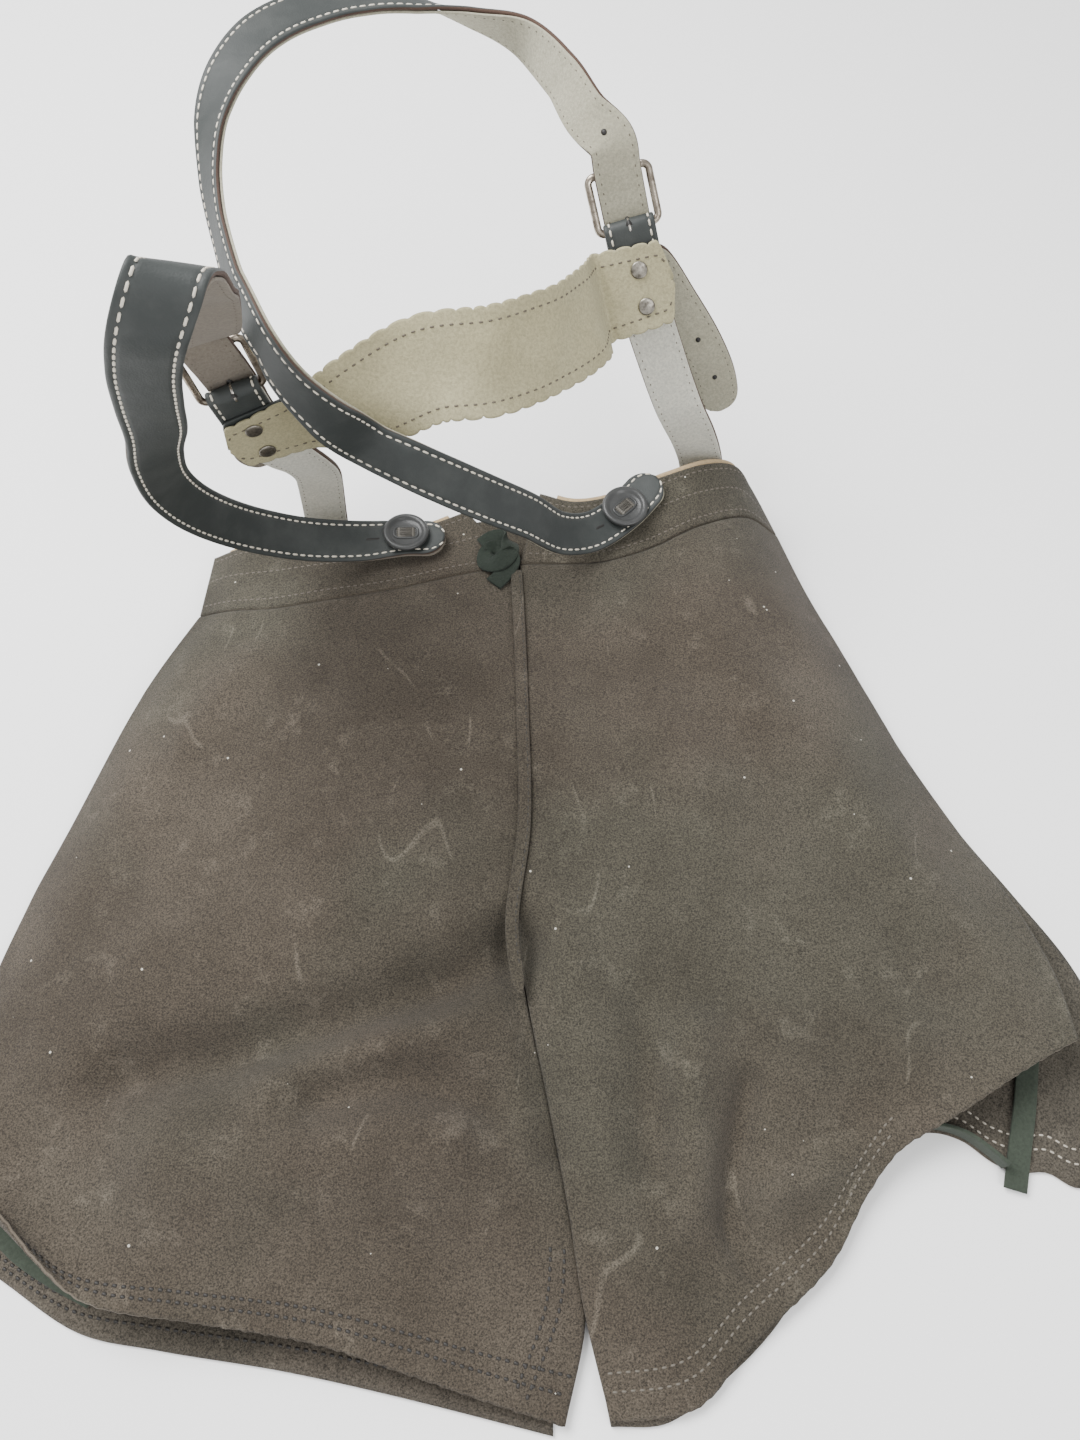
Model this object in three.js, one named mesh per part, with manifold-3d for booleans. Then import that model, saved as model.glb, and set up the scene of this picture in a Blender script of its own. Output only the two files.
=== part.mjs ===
// Child's suede leather shorts with leather H-braces, lying front face down with the braces standing up.
// Units are millimetres. +X is across the waist, +Y runs from the hems to the waist, +Z is up.
// The outlines are given on the table; the finished group is moved so that its origin is the centre of
// its footprint at table height.
import * as THREE from "three";
import { mergeVertices } from "three/addons/utils/BufferGeometryUtils.js";
import Module from "manifold-3d";

// ---- Driving dimensions ----
const SEAT_GAP = 0.3; // between two pieces that touch
const PANEL = 1.8; // body leather
const BAND = 2.0; // waistband leather
const FACING = 1.2; // cream leather inside the waistband
const FACING_RIM = 4; // how far the facing stands above the waistband
const LAP = 1.6; // stitched strip over the centre-back seam
const LAP_WIDTH = 6;
const BAND_HEIGHT = 43; // waistband, seam to top edge

const STRAP_WIDTH = 22; // back strap
const FRONT_STRAP_WIDTH = 24;
const STRAP_FACE = 2.0; // dark face leather of every strap
const STRAP_LINING = 1.2; // suede lining of every strap
const LINING_INSET = 0.4; // the lining stops this far inside the face leather's edges

const CROSSBAND_MIDDLE = 47; // width at the middle
const CROSSBAND_END = 38; // width at the ends
const CROSSBAND_FACE = 1.6;
const CROSSBAND_LINING = 1.2;
const SCALLOP_RISE = 3; // cream lining past the face leather

const BUTTON_DIAMETER = 24;
const BUTTON_THICKNESS = 4;
const SHANK_DIAMETER = 4;
const SHANK_CLEARANCE = 0.6; // around the shank in a strap's buttonhole
const FLAP_BUTTON_DIAMETER = 18;

const BUCKLE_WIRE = 2.6; // round bar of the frame
const BUCKLE_LENGTH = 25; // heel bar to tip bar
const BUCKLE_SIDE_CLEARANCE = 1.1; // front strap to side bar
const BUCKLE_LIFT = 5.6; // tip bar stands this far outside the heel bar
const PRONG_WIRE = 2.0;
const PRONG_SLOT = 4.4; // slot in the fold for the prong's loop

const RIVET_CAP = 8;
const RIVET_CAP_HEIGHT = 1.2;
const RIVET_SHANK = 3;
const RIVET_SPACING = 17;
const RIVET_CLEARANCE = 0.3;

const LACE_WIDTH = 9.5;
const LACE_THICKNESS = 1.5;

const FRONT_LIFT = 9.5; // the front waistband rides on its buttons

const COLOURS = {
  suede: { color: 0x645e56, roughness: 0.95, metalness: 0 },
  facing: { color: 0xd9c39a, roughness: 0.9, metalness: 0 },
  strap: { color: 0x3e4646, roughness: 0.5, metalness: 0 },
  lining: { color: 0xafaf9b, roughness: 0.95, metalness: 0 },
  cream: { color: 0xc8c3a5, roughness: 0.95, metalness: 0 },
  lace: { color: 0x46594a, roughness: 0.8, metalness: 0 },
  button: { color: 0x4a4d4d, roughness: 0.45, metalness: 0 },
  buckle: { color: 0x8f887c, roughness: 0.35, metalness: 1 },
  rivet: { color: 0x7d786e, roughness: 0.4, metalness: 1 },
};

// ---- Outlines of the body ----
const points = (rows) => rows.map(([x, y, z]) => new THREE.Vector3(x, y, z));
const smooth = (rows) => new THREE.CatmullRomCurve3(points(rows), false, "centripetal");

// The front waistband rides on its buttons, so the front panels rise from the table towards the waist.
const LIFT_FROM_Y = 200;
const LIFT_TO_Y = 335;
const lift = (y) => FRONT_LIFT * THREE.MathUtils.smoothstep(y, LIFT_FROM_Y, LIFT_TO_Y);
// Height at which the edge of a back panel rests on the front panel below it.
const seat = (y) => lift(y) + PANEL + SEAT_GAP + PANEL;
const onSeat = (rows) => rows.map(([x, y, rise]) => [x, y, seat(y) + rise]);
const onTable = (rows) => rows.map(([x, y]) => [x, y, lift(y) + PANEL]);

// Side seams of the back panels, waist to hem: x, y and the rise above the seat.
const SIDE_LEFT = onSeat([
  [-184, 342, 0], [-208, 290, 0], [-229, 228, 0], [-243, 180, 0],
  [-251, 130, 3], [-249, 88, 9], [-232, 60, 20], [-209, 45, 27],
]);
const SIDE_RIGHT = onSeat([
  [134, 398, 0], [146, 357, 0], [163, 312, 0], [181, 268, 0],
  [203, 222, 2], [221, 180, 8], [229, 145, 15], [229, 114, 22],
]);
const CENTRE_SEAM = [
  [-11, 356, 41], [-8, 310, 43], [-6, 260, 44], [-5, 205, 42],
  [-10, 160, 38], [-6, 130, 33], [3, 88, 25], [11, 48, 16], [17, 12, 9],
];
const LEFT_FOOT = [8, -26, 5];
const RIGHT_FOOT = [27, -25, 5];
const HALF_SEAM = 0.45; // each half stops this far from the centre seam's line
const centreEdge = (side, foot) => [...CENTRE_SEAM.map(([x, y, z]) => [x + side * HALF_SEAM, y, z]), foot];
const LEFT_INNER = centreEdge(-1, LEFT_FOOT);
const RIGHT_INNER = centreEdge(1, RIGHT_FOOT);
const LEFT_HEM = [
  SIDE_LEFT.at(-1), [-190, 28, 31], [-172, 15, 26], [-130, 8, 21],
  [-85, 1, 18], [-50, -9, 13], [-20, -18, 9], LEFT_FOOT,
];
const RIGHT_HEM = [
  RIGHT_FOOT, [60, -20, 5], [83, 1, 6], [117, 29, 8], [134, 54, 11],
  [148, 70, 17], [172, 83, 22], [205, 102, 26], SIDE_RIGHT.at(-1),
];
const LEFT_SEAM = [
  SIDE_LEFT[0], [-163, 337, 26], [-139, 335, 31], [-109, 338, 35],
  [-73, 343, 38], [-42, 350, 40], LEFT_INNER[0],
];
const RIGHT_SEAM = [
  RIGHT_INNER[0], [32, 357, 42], [58, 365, 43], [84, 378, 45], [112, 392, 36], SIDE_RIGHT[0],
];
const LEFT_RIM = [
  [-182, 382, SIDE_LEFT[0][2]], [-163, 381, 24], [-130, 380, 31], [-95, 381, 35], [-62, 385, 38], [-40, 392, 41],
];
const RIGHT_RIM = [
  [0, 403, 43], [18, 396, 45], [42, 397, 49], [66, 405, 54],
  [88, 412, 56], [108, 420, 46], [119, 421, 28], [128, 417, SIDE_RIGHT[0][2]],
];
// The front panels lie under the back ones and reach past them at the hems and the right side.
const FRONT_SIDE_LEFT = onTable([
  [-184, 342], [-208, 290], [-229, 228], [-243, 180], [-251, 130], [-251, 88], [-240, 55], [-218, 24],
]);
const FRONT_SIDE_RIGHT = onTable([
  [134, 398], [146, 357], [163, 312], [181, 268], [204, 224], [226, 188], [246, 152], [256, 112], [250, 68],
]);
const FRONT_CENTRE = (side) => onTable([
  [-10 + side * HALF_SEAM, 352], [-6 + side * HALF_SEAM, 250], [-7 + side * HALF_SEAM, 130],
  [0 + side * HALF_SEAM, 95], [8 + side * 4 * HALF_SEAM, 55], [side < 0 ? 5 : 27, side < 0 ? -29 : -26],
]);
const FRONT_LEFT_HEM = onTable([[-218, 24], [-182, 5], [-149, -1], [-99, -8], [-56, -16], [5, -29]]);
const FRONT_RIGHT_HEM = onTable([
  [27, -26], [48, -25], [67, -14], [92, 6], [116, 36], [144, 72], [166, 80], [180, 77], [192, 68],
  [202, 64], [214, 64], [226, 58], [250, 68],
]);
const FRONT_LEFT_SEAM = onTable([[-184, 342], [-90, 345], [-10 - HALF_SEAM, 352]]);
const FRONT_RIGHT_SEAM = onTable([[-10 + HALF_SEAM, 352], [70, 372], [134, 398]]);
const FRONT_LEFT_RIM = onTable([[-182, 382], [-90, 387], [-12, 394]]);
const FRONT_RIGHT_RIM = onTable([[-10, 394], [60, 408], [128, 418]]);

// ---- Routes of the straps: place of the middle, then the direction from the left edge to the right ----
const BACK_STRAP_RIGHT = [
  [[62, 402, 55.6], [-0.5, 0.85, 0.1]],
  [[45, 384, 49.8], [-0.5, 0.86, 0.14]],
  [[28, 370, 50.5], [-0.15, 0.96, 0.2]],
  [[11, 359, 62], [0.15, 0.93, 0.3]],
  [[-6, 351, 85], [0.3, 0.85, 0.42]],
  [[-23, 345, 103], [0.38, 0.73, 0.57]],
  [[-40, 341, 119], [0.42, 0.6, 0.68]],
  [[-57, 340, 132], [0.46, 0.45, 0.75]],
  [[-75, 342, 143], [0.52, 0.25, 0.8]],
  [[-87.5, 332, 169], [0.56, 0, 0.82]],
  [[-99, 334, 185], [0.53, -0.22, 0.8]],
  [[-107.5, 341, 199], [0.48, -0.42, 0.76]],
  [[-121, 368, 201], [0.43, -0.58, 0.69]],
  [[-132, 400, 204.5], [0.42, -0.7, 0.58]],
  [[-138, 428, 213], [0.5, -0.74, 0.42]],
  [[-138, 451, 223], [0.6, -0.76, 0.22]],
  [[-133, 475, 229], [0.64, -0.77, 0]],
  [[-122, 498, 232], [0.68, -0.72, -0.14]],
  [[-105, 518, 231], [0.68, -0.72, -0.18]],
  [[-83, 533, 228], [0.6, -0.8, -0.1]],
  [[-58, 541, 222], [0.5, -0.85, 0.15]],
  [[-33, 541, 216], [0.45, -0.7, 0.5]],
  [[-10, 533, 212], [0.42, -0.5, 0.74]],
  [[9, 507, 209], [0.55, -0.35, 0.75]],
  [[21, 483, 204], [0.75, -0.15, 0.6]],
];
const BACK_DROP_LEFT = 4; // strap's middle to the waistband under the button
const BACK_DROP_RIGHT = 2.6;
const BACK_STRAP_LEFT = [
  [[-50, 370, 44], [0, 0.98, 0]],
  [[-71, 371, 43], [0, 0.98, 0]],
  [[-95, 366, 47], [0.05, 0.94, 0.3]],
  [[-119, 356, 61], [0.15, 0.88, 0.42]],
  [[-140, 342, 86], [0.35, 0.84, 0.42]],
  [[-152, 324, 120], [0.5, 0.78, 0.36]],
  [[-154, 309, 152], [0.66, 0.7, 0.24]],
  [[-147, 295, 184], [0.84, 0.54, 0]],
  [[-136, 281, 212], [0.92, 0.4, -0.12]],
  [[-127, 266, 240], [0.94, 0.3, -0.2]],
  [[-118, 253, 266], [0.95, 0.22, -0.24]],
  [[-109, 246, 286], [0.95, 0.16, -0.28]],
  [[-102, 253, 297], [0.95, 0.1, -0.28]],
  [[-102, 266, 289], [0.95, 0.1, -0.22]],
  [[-106, 284, 268], [0.95, 0.15, -0.12]],
  [[-112, 305, 247], [0.94, 0.24, 0]],
  [[-126, 336, 206], [0.92, 0.32, 0.06]],
];
const FRONT_STRAP_RIGHT = [
  [[61, 430, 112], [0.95, 0.12, 0.22]],
  [[67, 425, 98], [0.95, 0.1, 0.22]],
  [[73, 421, 85], [0.96, 0.05, 0.2]],
  [[81, 421, 68], [0.97, 0, 0.14]],
  [[87, 425, 50], [0.98, 0, 0.1]],
  [[91, 431, 32], [0.99, 0, 0.05]],
  [[92, 432, 17], [0.99, 0.05, 0]],
  [[90, 424, 9], [0.98, 0.15, 0]],
  [[85, 409, 7.4], [0.96, 0.25, 0]],
  [[78, 390, 7.4], [0.94, 0.32, 0]],
  [[71, 371, 7.4], [0.94, 0.32, 0]],
];
const FRONT_STRAP_LEFT = [
  [[-121, 371, 106], [0.93, 0.2, 0.2]],
  [[-115.5, 379, 90], [0.96, 0.1, 0.15]],
  [[-115, 391, 70], [0.97, 0.1, 0.1]],
  [[-117, 398, 53], [0.98, 0.1, 0.05]],
  [[-119, 402, 36], [0.99, 0.05, 0]],
  [[-120, 402, 20], [0.99, 0, 0]],
  [[-119, 395, 9.8], [0.99, -0.05, 0]],
  [[-116, 382, 7.4], [0.98, -0.1, 0]],
  [[-111, 364, 7.4], [0.96, -0.2, 0]],
  [[-107, 347, 7.4], [0.96, -0.2, 0]],
];
// Past the heel bar the back strap's end hangs outside the front strap.
const TAIL_RIGHT = [
  [[54, 459, 144], [0.9, 0.15, 0.38]],
  [[69, 455, 124], [0.86, 0.15, 0.42]],
  [[83, 450, 104], [0.9, 0.12, 0.38]],
  [[93, 447, 84], [0.95, 0.08, 0.25]],
  [[98, 444, 64], [0.97, 0.05, 0.15]],
];
const TAIL_LEFT = [
  [[-134, 373, 129], [0.95, 0.25, 0.1]],
  [[-138, 378, 110], [0.96, 0.2, 0]],
  [[-139, 378, 91], [0.97, 0.15, 0]],
];
// Each buckle: middle of the heel bar, direction up the strap, direction across it.
const BUCKLE_RIGHT = { heel: [42, 456, 167], up: [-0.26, 0.45, 0.855], across: [0.95, 0.12, 0.2] };
const BUCKLE_LEFT = { heel: [-132, 357, 158], up: [-0.12, -0.22, 0.965], across: [0.9, 0.25, 0.3] };

// The crossband bows up between the two front straps: place, direction across the band.
const CROSSBAND = [
  [[-91, 361.5, 141], [-0.15, 0.05, 0.98]],
  [[-74, 363, 150], [-0.1, 0.35, 0.92]],
  [[-48, 368, 161], [0, 0.62, 0.78]],
  [[-20, 372, 162], [-0.1, 0.55, 0.83]],
  [[8, 391, 158], [-0.27, 0.35, 0.9]],
  [[24, 413, 152], [-0.34, 0.39, 0.86]],
];
// Free laces: place, direction across.
const HEM_LACE_LEFT = [
  [[-245, 100, 4], [0.97, 0.2, 0]], [[-242, 78, 3.4], [0.95, 0.3, 0]], [[-232, 56, 3.2], [0.8, 0.6, 0]],
  [[-216, 38, 3.2], [0.6, 0.8, 0]], [[-198, 27, 3.2], [0.42, 0.9, 0]], [[-178, 18, 3.2], [0.42, 0.9, 0]],
];
const HEM_LACE_RIGHT_RUN = [
  [[144, 71, 6.9], [0, 0, 1]], [[154, 79, 6.9], [0, 0, 1]], [[166, 82, 6.9], [0, 0, 1]],
  [[179, 79, 6.9], [0, 0, 1]], [[190, 71, 6.9], [0, 0, 1]], [[195, 66, 6.9], [0, 0, 1]],
];
const HEM_LACE_RIGHT_END = [
  [[219, 124, 3.2], [0.94, -0.3, 0]], [[214, 106, 3.2], [0.94, -0.3, 0]], [[209, 89, 3.3], [0.95, -0.25, 0]],
  [[203, 72, 3.6], [0.97, -0.2, 0]], [[198.5, 57, 2.2], [0.97, -0.2, 0]],
];
const ADJUSTER_LACE = [
  [[-31, 366, 42.2], [0.3, 0.95, 0]], [[-22, 371, 42.6], [0.1, 0.95, 0.1]], [[-14, 366, 42.6], [-0.9, 0.4, 0.1]],
  [[-16, 356, 42.6], [-0.95, 0.2, 0.1]], [[-24, 346, 42.4], [-0.7, 0.7, 0]],
];

// ---- Builders ----
const wasm = await Module();
wasm.setup();

const vector = ([x, y, z]) => new THREE.Vector3(x, y, z);

function closedGeometry(vertices, indices) {
  const geometry = new THREE.BufferGeometry();
  geometry.setAttribute("position", new THREE.Float32BufferAttribute(vertices, 3));
  geometry.setIndex(indices);
  return geometry;
}

// Shared vertices, no needle triangles, faces outwards.
function skin(geometry) {
  const bare = new THREE.BufferGeometry().setAttribute("position", geometry.getAttribute("position"));
  if (geometry.index) bare.setIndex(geometry.index);
  const merged = mergeVertices(bare, 1e-4);
  const { array } = merged.attributes.position;
  const kept = [];
  let volume = 0;
  for (let i = 0; i < merged.index.count; i += 3) {
    const [a, b, c] = [0, 1, 2].map((k) => merged.index.getX(i + k));
    if (a === b || b === c || c === a) continue;
    kept.push(a, b, c);
    const [p, q, r] = [a, b, c].map((k) => new THREE.Vector3().fromArray(array, 3 * k));
    volume += p.dot(q.cross(r));
  }
  return closedGeometry(Array.from(array), volume < 0 ? kept.reverse() : kept);
}

function solid(geometry) {
  const { attributes, index } = skin(geometry);
  return new wasm.Manifold(
    new wasm.Mesh({
      numProp: 3,
      vertProperties: new Float32Array(attributes.position.array),
      triVerts: new Uint32Array(index.array),
    }),
  );
}

function geometryOf(manifold) {
  const mesh = manifold.getMesh();
  return closedGeometry(Array.from(mesh.vertProperties), Array.from(mesh.triVerts));
}

const cut = (geometry, ...tools) =>
  geometryOf(tools.reduce((left, tool) => left.subtract(solid(tool)), solid(geometry)));
const join = (geometry, ...others) =>
  geometryOf(others.reduce((left, other) => left.add(solid(other)), solid(geometry)));

// Index list of a closed skin: rows x columns of points on the outer face, then the same on the inner.
function shellIndices(rows, columns) {
  const indices = [];
  const inner = rows * columns;
  const at = (r, c) => r * columns + c;
  const quad = (a, b, c, d) => indices.push(a, b, c, a, c, d);
  for (let r = 0; r + 1 < rows; r++) {
    for (let c = 0; c + 1 < columns; c++) {
      quad(at(r, c), at(r + 1, c), at(r + 1, c + 1), at(r, c + 1));
      quad(inner + at(r, c), inner + at(r, c + 1), inner + at(r + 1, c + 1), inner + at(r + 1, c));
    }
  }
  const rim = [];
  for (let c = 0; c + 1 < columns; c++) rim.push(at(0, c));
  for (let r = 0; r + 1 < rows; r++) rim.push(at(r, columns - 1));
  for (let c = columns - 1; c > 0; c--) rim.push(at(rows - 1, c));
  for (let r = rows - 1; r > 0; r--) rim.push(at(r, 0));
  rim.forEach((a, i) => {
    const b = rim[(i + 1) % rim.length];
    quad(a, b, inner + b, inner + a);
  });
  return indices;
}

// A leather sheet: surface(u, v) is its reference face. The sheet fills depths near..far below that
// face, measured along the face's normal.
function sheet(surface, columns, rows, near, far) {
  const outer = [];
  const inner = [];
  const step = 1e-3;
  for (let r = 0; r < rows; r++) {
    for (let c = 0; c < columns; c++) {
      const u = c / (columns - 1);
      const v = r / (rows - 1);
      const p = surface(u, v);
      const du = surface(u + step, v).sub(surface(u - step, v));
      const dv = surface(u, v + step).sub(surface(u, v - step));
      const up = dv.cross(du).normalize();
      outer.push(...p.clone().addScaledVector(up, -near).toArray());
      inner.push(...p.clone().addScaledVector(up, -far).toArray());
    }
  }
  return closedGeometry([...outer, ...inner], shellIndices(rows, columns));
}

// A point on a curve, run on in a straight line past its ends.
function alongCurve(curve, t) {
  const inside = THREE.MathUtils.clamp(t, 0, 1);
  const past = (t - inside) * curve.getLength();
  return curve.getPointAt(inside).addScaledVector(curve.getTangentAt(inside), past);
}

// Coons patch between four curves: the sum of both rulings less the bilinear of the corners.
function patch(top, bottom, left, right, swell = () => 0) {
  const [t, b, l, r] = [top, bottom, left, right].map(smooth);
  return (u, v) => {
    const point = alongCurve(t, u).multiplyScalar(1 - v).addScaledVector(alongCurve(b, u), v);
    point.addScaledVector(alongCurve(l, v), 1 - u).addScaledVector(alongCurve(r, v), u);
    point.addScaledVector(vector(top[0]), -(1 - u) * (1 - v)).addScaledVector(vector(top.at(-1)), -u * (1 - v));
    point.addScaledVector(vector(bottom[0]), -(1 - u) * v).addScaledVector(vector(bottom.at(-1)), -u * v);
    point.z += swell(u, v);
    return point;
  };
}

// A strap: stations of middle and across-direction, a width, and the depth range it fills along its
// outward direction. Both ends can be rounded.
const STRAP_STEP = 9;
function strapFrames(route, step = STRAP_STEP) {
  const middle = smooth(route.map(([place]) => place));
  const across = route.map(([, direction]) => vector(direction).normalize());
  const count = Math.max(4, Math.round(middle.getLength() / step));
  const lengths = middle.getLengths(400);
  const stationLength = route.map((_, i) => lengths[Math.round((i / (route.length - 1)) * 400)]);
  const frames = [];
  for (let i = 0; i <= count; i++) {
    const length = (i / count) * lengths.at(-1);
    const place = middle.getPointAt(i / count);
    const tangent = middle.getTangentAt(i / count);
    const k = Math.min(route.length - 2, stationLength.findLastIndex((l) => l <= length));
    const blend = (length - stationLength[k]) / (stationLength[k + 1] - stationLength[k]);
    const wide = across[k].clone().lerp(across[k + 1], blend);
    wide.addScaledVector(tangent, -wide.dot(tangent)).normalize();
    const outward = wide.clone().cross(tangent).normalize();
    frames.push({ place, tangent, wide, outward, length, left: lengths.at(-1) - length });
  }
  return frames;
}

function strapSolid(frames, width, near, far, roundStart = 0, roundEnd = 0) {
  const vertices = [];
  const indices = [];
  const rounding = (distance, radius) => {
    if (distance >= radius) return 1;
    return Math.sqrt(1 - (1 - Math.max(distance, 0.12 * radius) / radius) ** 2);
  };
  frames.forEach(({ place, wide, outward, length, left }) => {
    const half = (typeof width === "function" ? width(length, left) : width) / 2;
    const reach = half * rounding(length, roundStart) * rounding(left, roundEnd);
    for (const [side, depth] of [[-1, near], [1, near], [1, far], [-1, far]]) {
      vertices.push(...place.clone().addScaledVector(wide, side * reach).addScaledVector(outward, depth).toArray());
    }
  });
  const quad = (a, b, c, d) => indices.push(a, b, c, a, c, d);
  // Near and far faces are split along the same diagonal, so that twisted straps laid together stay apart.
  for (let i = 0; i + 1 < frames.length; i++) {
    const [a, b] = [4 * i, 4 * (i + 1)];
    quad(a, b, b + 1, a + 1);
    quad(a + 1, b + 1, b + 2, a + 2);
    quad(b + 2, b + 3, a + 3, a + 2);
    quad(a + 3, b + 3, b, a);
  }
  const last = 4 * (frames.length - 1);
  quad(0, 1, 2, 3);
  quad(last + 3, last + 2, last + 1, last);
  return closedGeometry(vertices, indices);
}

// Right-handed axes of a flat seat: X along the first direction, Z along the second.
function axes(place, along, out) {
  const z = out.clone().normalize();
  const x = along.clone().addScaledVector(z, -along.dot(z)).normalize();
  const y = z.clone().cross(x);
  return new THREE.Matrix4().makeBasis(x, y, z).setPosition(place);
}

function rod(radius, from, to, sides = 14) {
  const length = to - from;
  const geometry = new THREE.CylinderGeometry(radius, radius, length, sides);
  return geometry.rotateX(Math.PI / 2).translate(0, 0, from + length / 2);
}

function block(x0, x1, y0, y1, z0, z1) {
  const geometry = new THREE.BoxGeometry(x1 - x0, y1 - y0, z1 - z0);
  return geometry.translate((x0 + x1) / 2, (y0 + y1) / 2, (z0 + z1) / 2);
}

function turned(profile, sides = 20) {
  const outline = profile.map(([r, z]) => new THREE.Vector2(r, z));
  return new THREE.LatheGeometry(outline, sides).rotateX(Math.PI / 2);
}

// ---- The object ----
const object = new THREE.Group();
function add(name, geometry, finish, matrix) {
  if (matrix) geometry.applyMatrix4(matrix);
  const mesh = new THREE.Mesh(geometry, new THREE.MeshStandardMaterial(COLOURS[finish]));
  mesh.name = name;
  object.add(mesh);
  return mesh;
}

// Body panels, waistbands and facings.
const SWELL = 14; // the back panels stand this much prouder than their edges alone would make them
const puff = (fromSide, v) => SWELL * (1 - (1 - fromSide) ** 6) * (1 - fromSide) * Math.sin(Math.PI * v);
const PANEL_COLUMNS = 13;
const PANEL_ROWS = 19;

const panel = (name, surface) => add(name, sheet(surface, PANEL_COLUMNS, PANEL_ROWS, 0, PANEL), "suede");
// The same surface laid on the table, or on the buttons near the waist.
function laid(surface) {
  return (u, v) => {
    const point = surface(u, v);
    return point.setZ(lift(point.y) + PANEL);
  };
}
panel("back_panel_left", patch(LEFT_SEAM, LEFT_HEM, SIDE_LEFT, LEFT_INNER, puff));
panel("back_panel_right", patch(RIGHT_SEAM, RIGHT_HEM, RIGHT_INNER, SIDE_RIGHT, (u, v) => puff(1 - u, v)));
panel("front_panel_left", laid(patch(FRONT_LEFT_SEAM, FRONT_LEFT_HEM, FRONT_SIDE_LEFT, FRONT_CENTRE(-1))));
panel("front_panel_right", laid(patch(FRONT_RIGHT_SEAM, FRONT_RIGHT_HEM, FRONT_CENTRE(1), FRONT_SIDE_RIGHT)));

const BAND_COLUMNS = 13;
const BAND_ROWS = 4;
// A waistband between its seam and its rim, stopping short of the panel sewn to it.
function bandSurface(seam, rim) {
  const low = seam.map(([x, y, z]) => [x, y + SEAT_GAP + 0.2, z]);
  return patch(rim, low, [rim[0], low[0]], [rim.at(-1), low.at(-1)]);
}
const [leftBand, rightBand] = [bandSurface(LEFT_SEAM, LEFT_RIM), bandSurface(RIGHT_SEAM, RIGHT_RIM)];
const frontLeftBand = laid(bandSurface(FRONT_LEFT_SEAM, FRONT_LEFT_RIM));
const frontRightBand = laid(bandSurface(FRONT_RIGHT_SEAM, FRONT_RIGHT_RIM));
for (const [name, surface] of [
  ["back_waistband_left", leftBand],
  ["back_waistband_right", rightBand],
  ["front_waistband_left", frontLeftBand],
  ["front_waistband_right", frontRightBand],
]) {
  add(name, sheet(surface, BAND_COLUMNS, BAND_ROWS, 0, BAND), "suede");
}
// The facing lies inside the band, from a little above its seam to a rim that stands past its top edge.
const FACING_TO = 0.7;
const FACING_TRIM = 0.06; // bare share of the band at each end
function facing(name, surface) {
  const from = -FACING_RIM / BAND_HEIGHT;
  const inside = (u, v) => surface(FACING_TRIM + u * (1 - 2 * FACING_TRIM), from + v * (FACING_TO - from));
  const depth = BAND + SEAT_GAP + 0.3;
  add(name, sheet(inside, BAND_COLUMNS, BAND_ROWS, depth, depth + FACING), "facing");
}
facing("waist_facing_left", leftBand);
facing("waist_facing_right", rightBand);

// Strip sewn over the centre-back seam, from the notch to the crotch.
const LAP_LIFT = SEAT_GAP + 0.2;
const lapRoute = CENTRE_SEAM.slice(1, 6).map(([x, y, z]) => [[x - 1.5, y, z], [-1, 0, 0]]);
add("centre_back_strip", strapSolid(strapFrames(lapRoute), LAP_WIDTH, LAP_LIFT, LAP_LIFT + LAP), "suede");

// Drop-front flap under the front panels, and its two buttons.
const FLAP = 1.6;
const FLAP_LEFT = -70;
const FLAP_RIGHT = 50;
const FLAP_FROM_Y = 247;
const FLAP_TO_Y = 341;
const flapFace = (u, v) => {
  const y = FLAP_TO_Y + v * (FLAP_FROM_Y - FLAP_TO_Y);
  return new THREE.Vector3(FLAP_LEFT + u * (FLAP_RIGHT - FLAP_LEFT), y, lift(y) - SEAT_GAP);
};
add("drop_front_flap", sheet(flapFace, 7, 9, 0, FLAP), "suede");

// ---- Buttons on thread shanks ----
// Face up along Z, underside at z = 0: a rounded back, a raised rim and a dished middle.
function buttonGeometry(diameter) {
  const r = diameter / 2;
  const t = BUTTON_THICKNESS;
  return turned([
    [0, 0], [0.6 * r, 0], [0.92 * r, 0.3 * t], [r, 0.6 * t], [0.93 * r, 0.9 * t],
    [0.78 * r, t], [0.64 * r, 0.7 * t], [0.3 * r, 0.55 * t], [0, 0.55 * t],
  ]);
}
// A button held by a thread that stands on `base` and reaches `reach` up to the button's underside.
function button(name, diameter, base, along, out, reach) {
  const seatAxes = axes(base, along, out);
  add(name + "_thread", rod(SHANK_DIAMETER / 2, SEAT_GAP, reach - SEAT_GAP), "button", seatAxes);
  const lifted = seatAxes.clone().multiply(new THREE.Matrix4().makeTranslation(0, 0, reach));
  add(name, buttonGeometry(diameter), "button", lifted);
}
const FLAP_BUTTONS = { left: [FLAP_LEFT + 12, FLAP_TO_Y - 9], right: [FLAP_RIGHT - 12, FLAP_TO_Y - 9] };
const down = new THREE.Vector3(0, 0, -1);
for (const [side, [x, y]] of Object.entries(FLAP_BUTTONS)) {
  const geometry = buttonGeometry(FLAP_BUTTON_DIAMETER);
  const place = new THREE.Vector3(x, y, lift(y) - FLAP - 2 * SEAT_GAP);
  add("flap_button_" + side, geometry, "button", axes(place, new THREE.Vector3(1, 0, 0), down));
}

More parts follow.
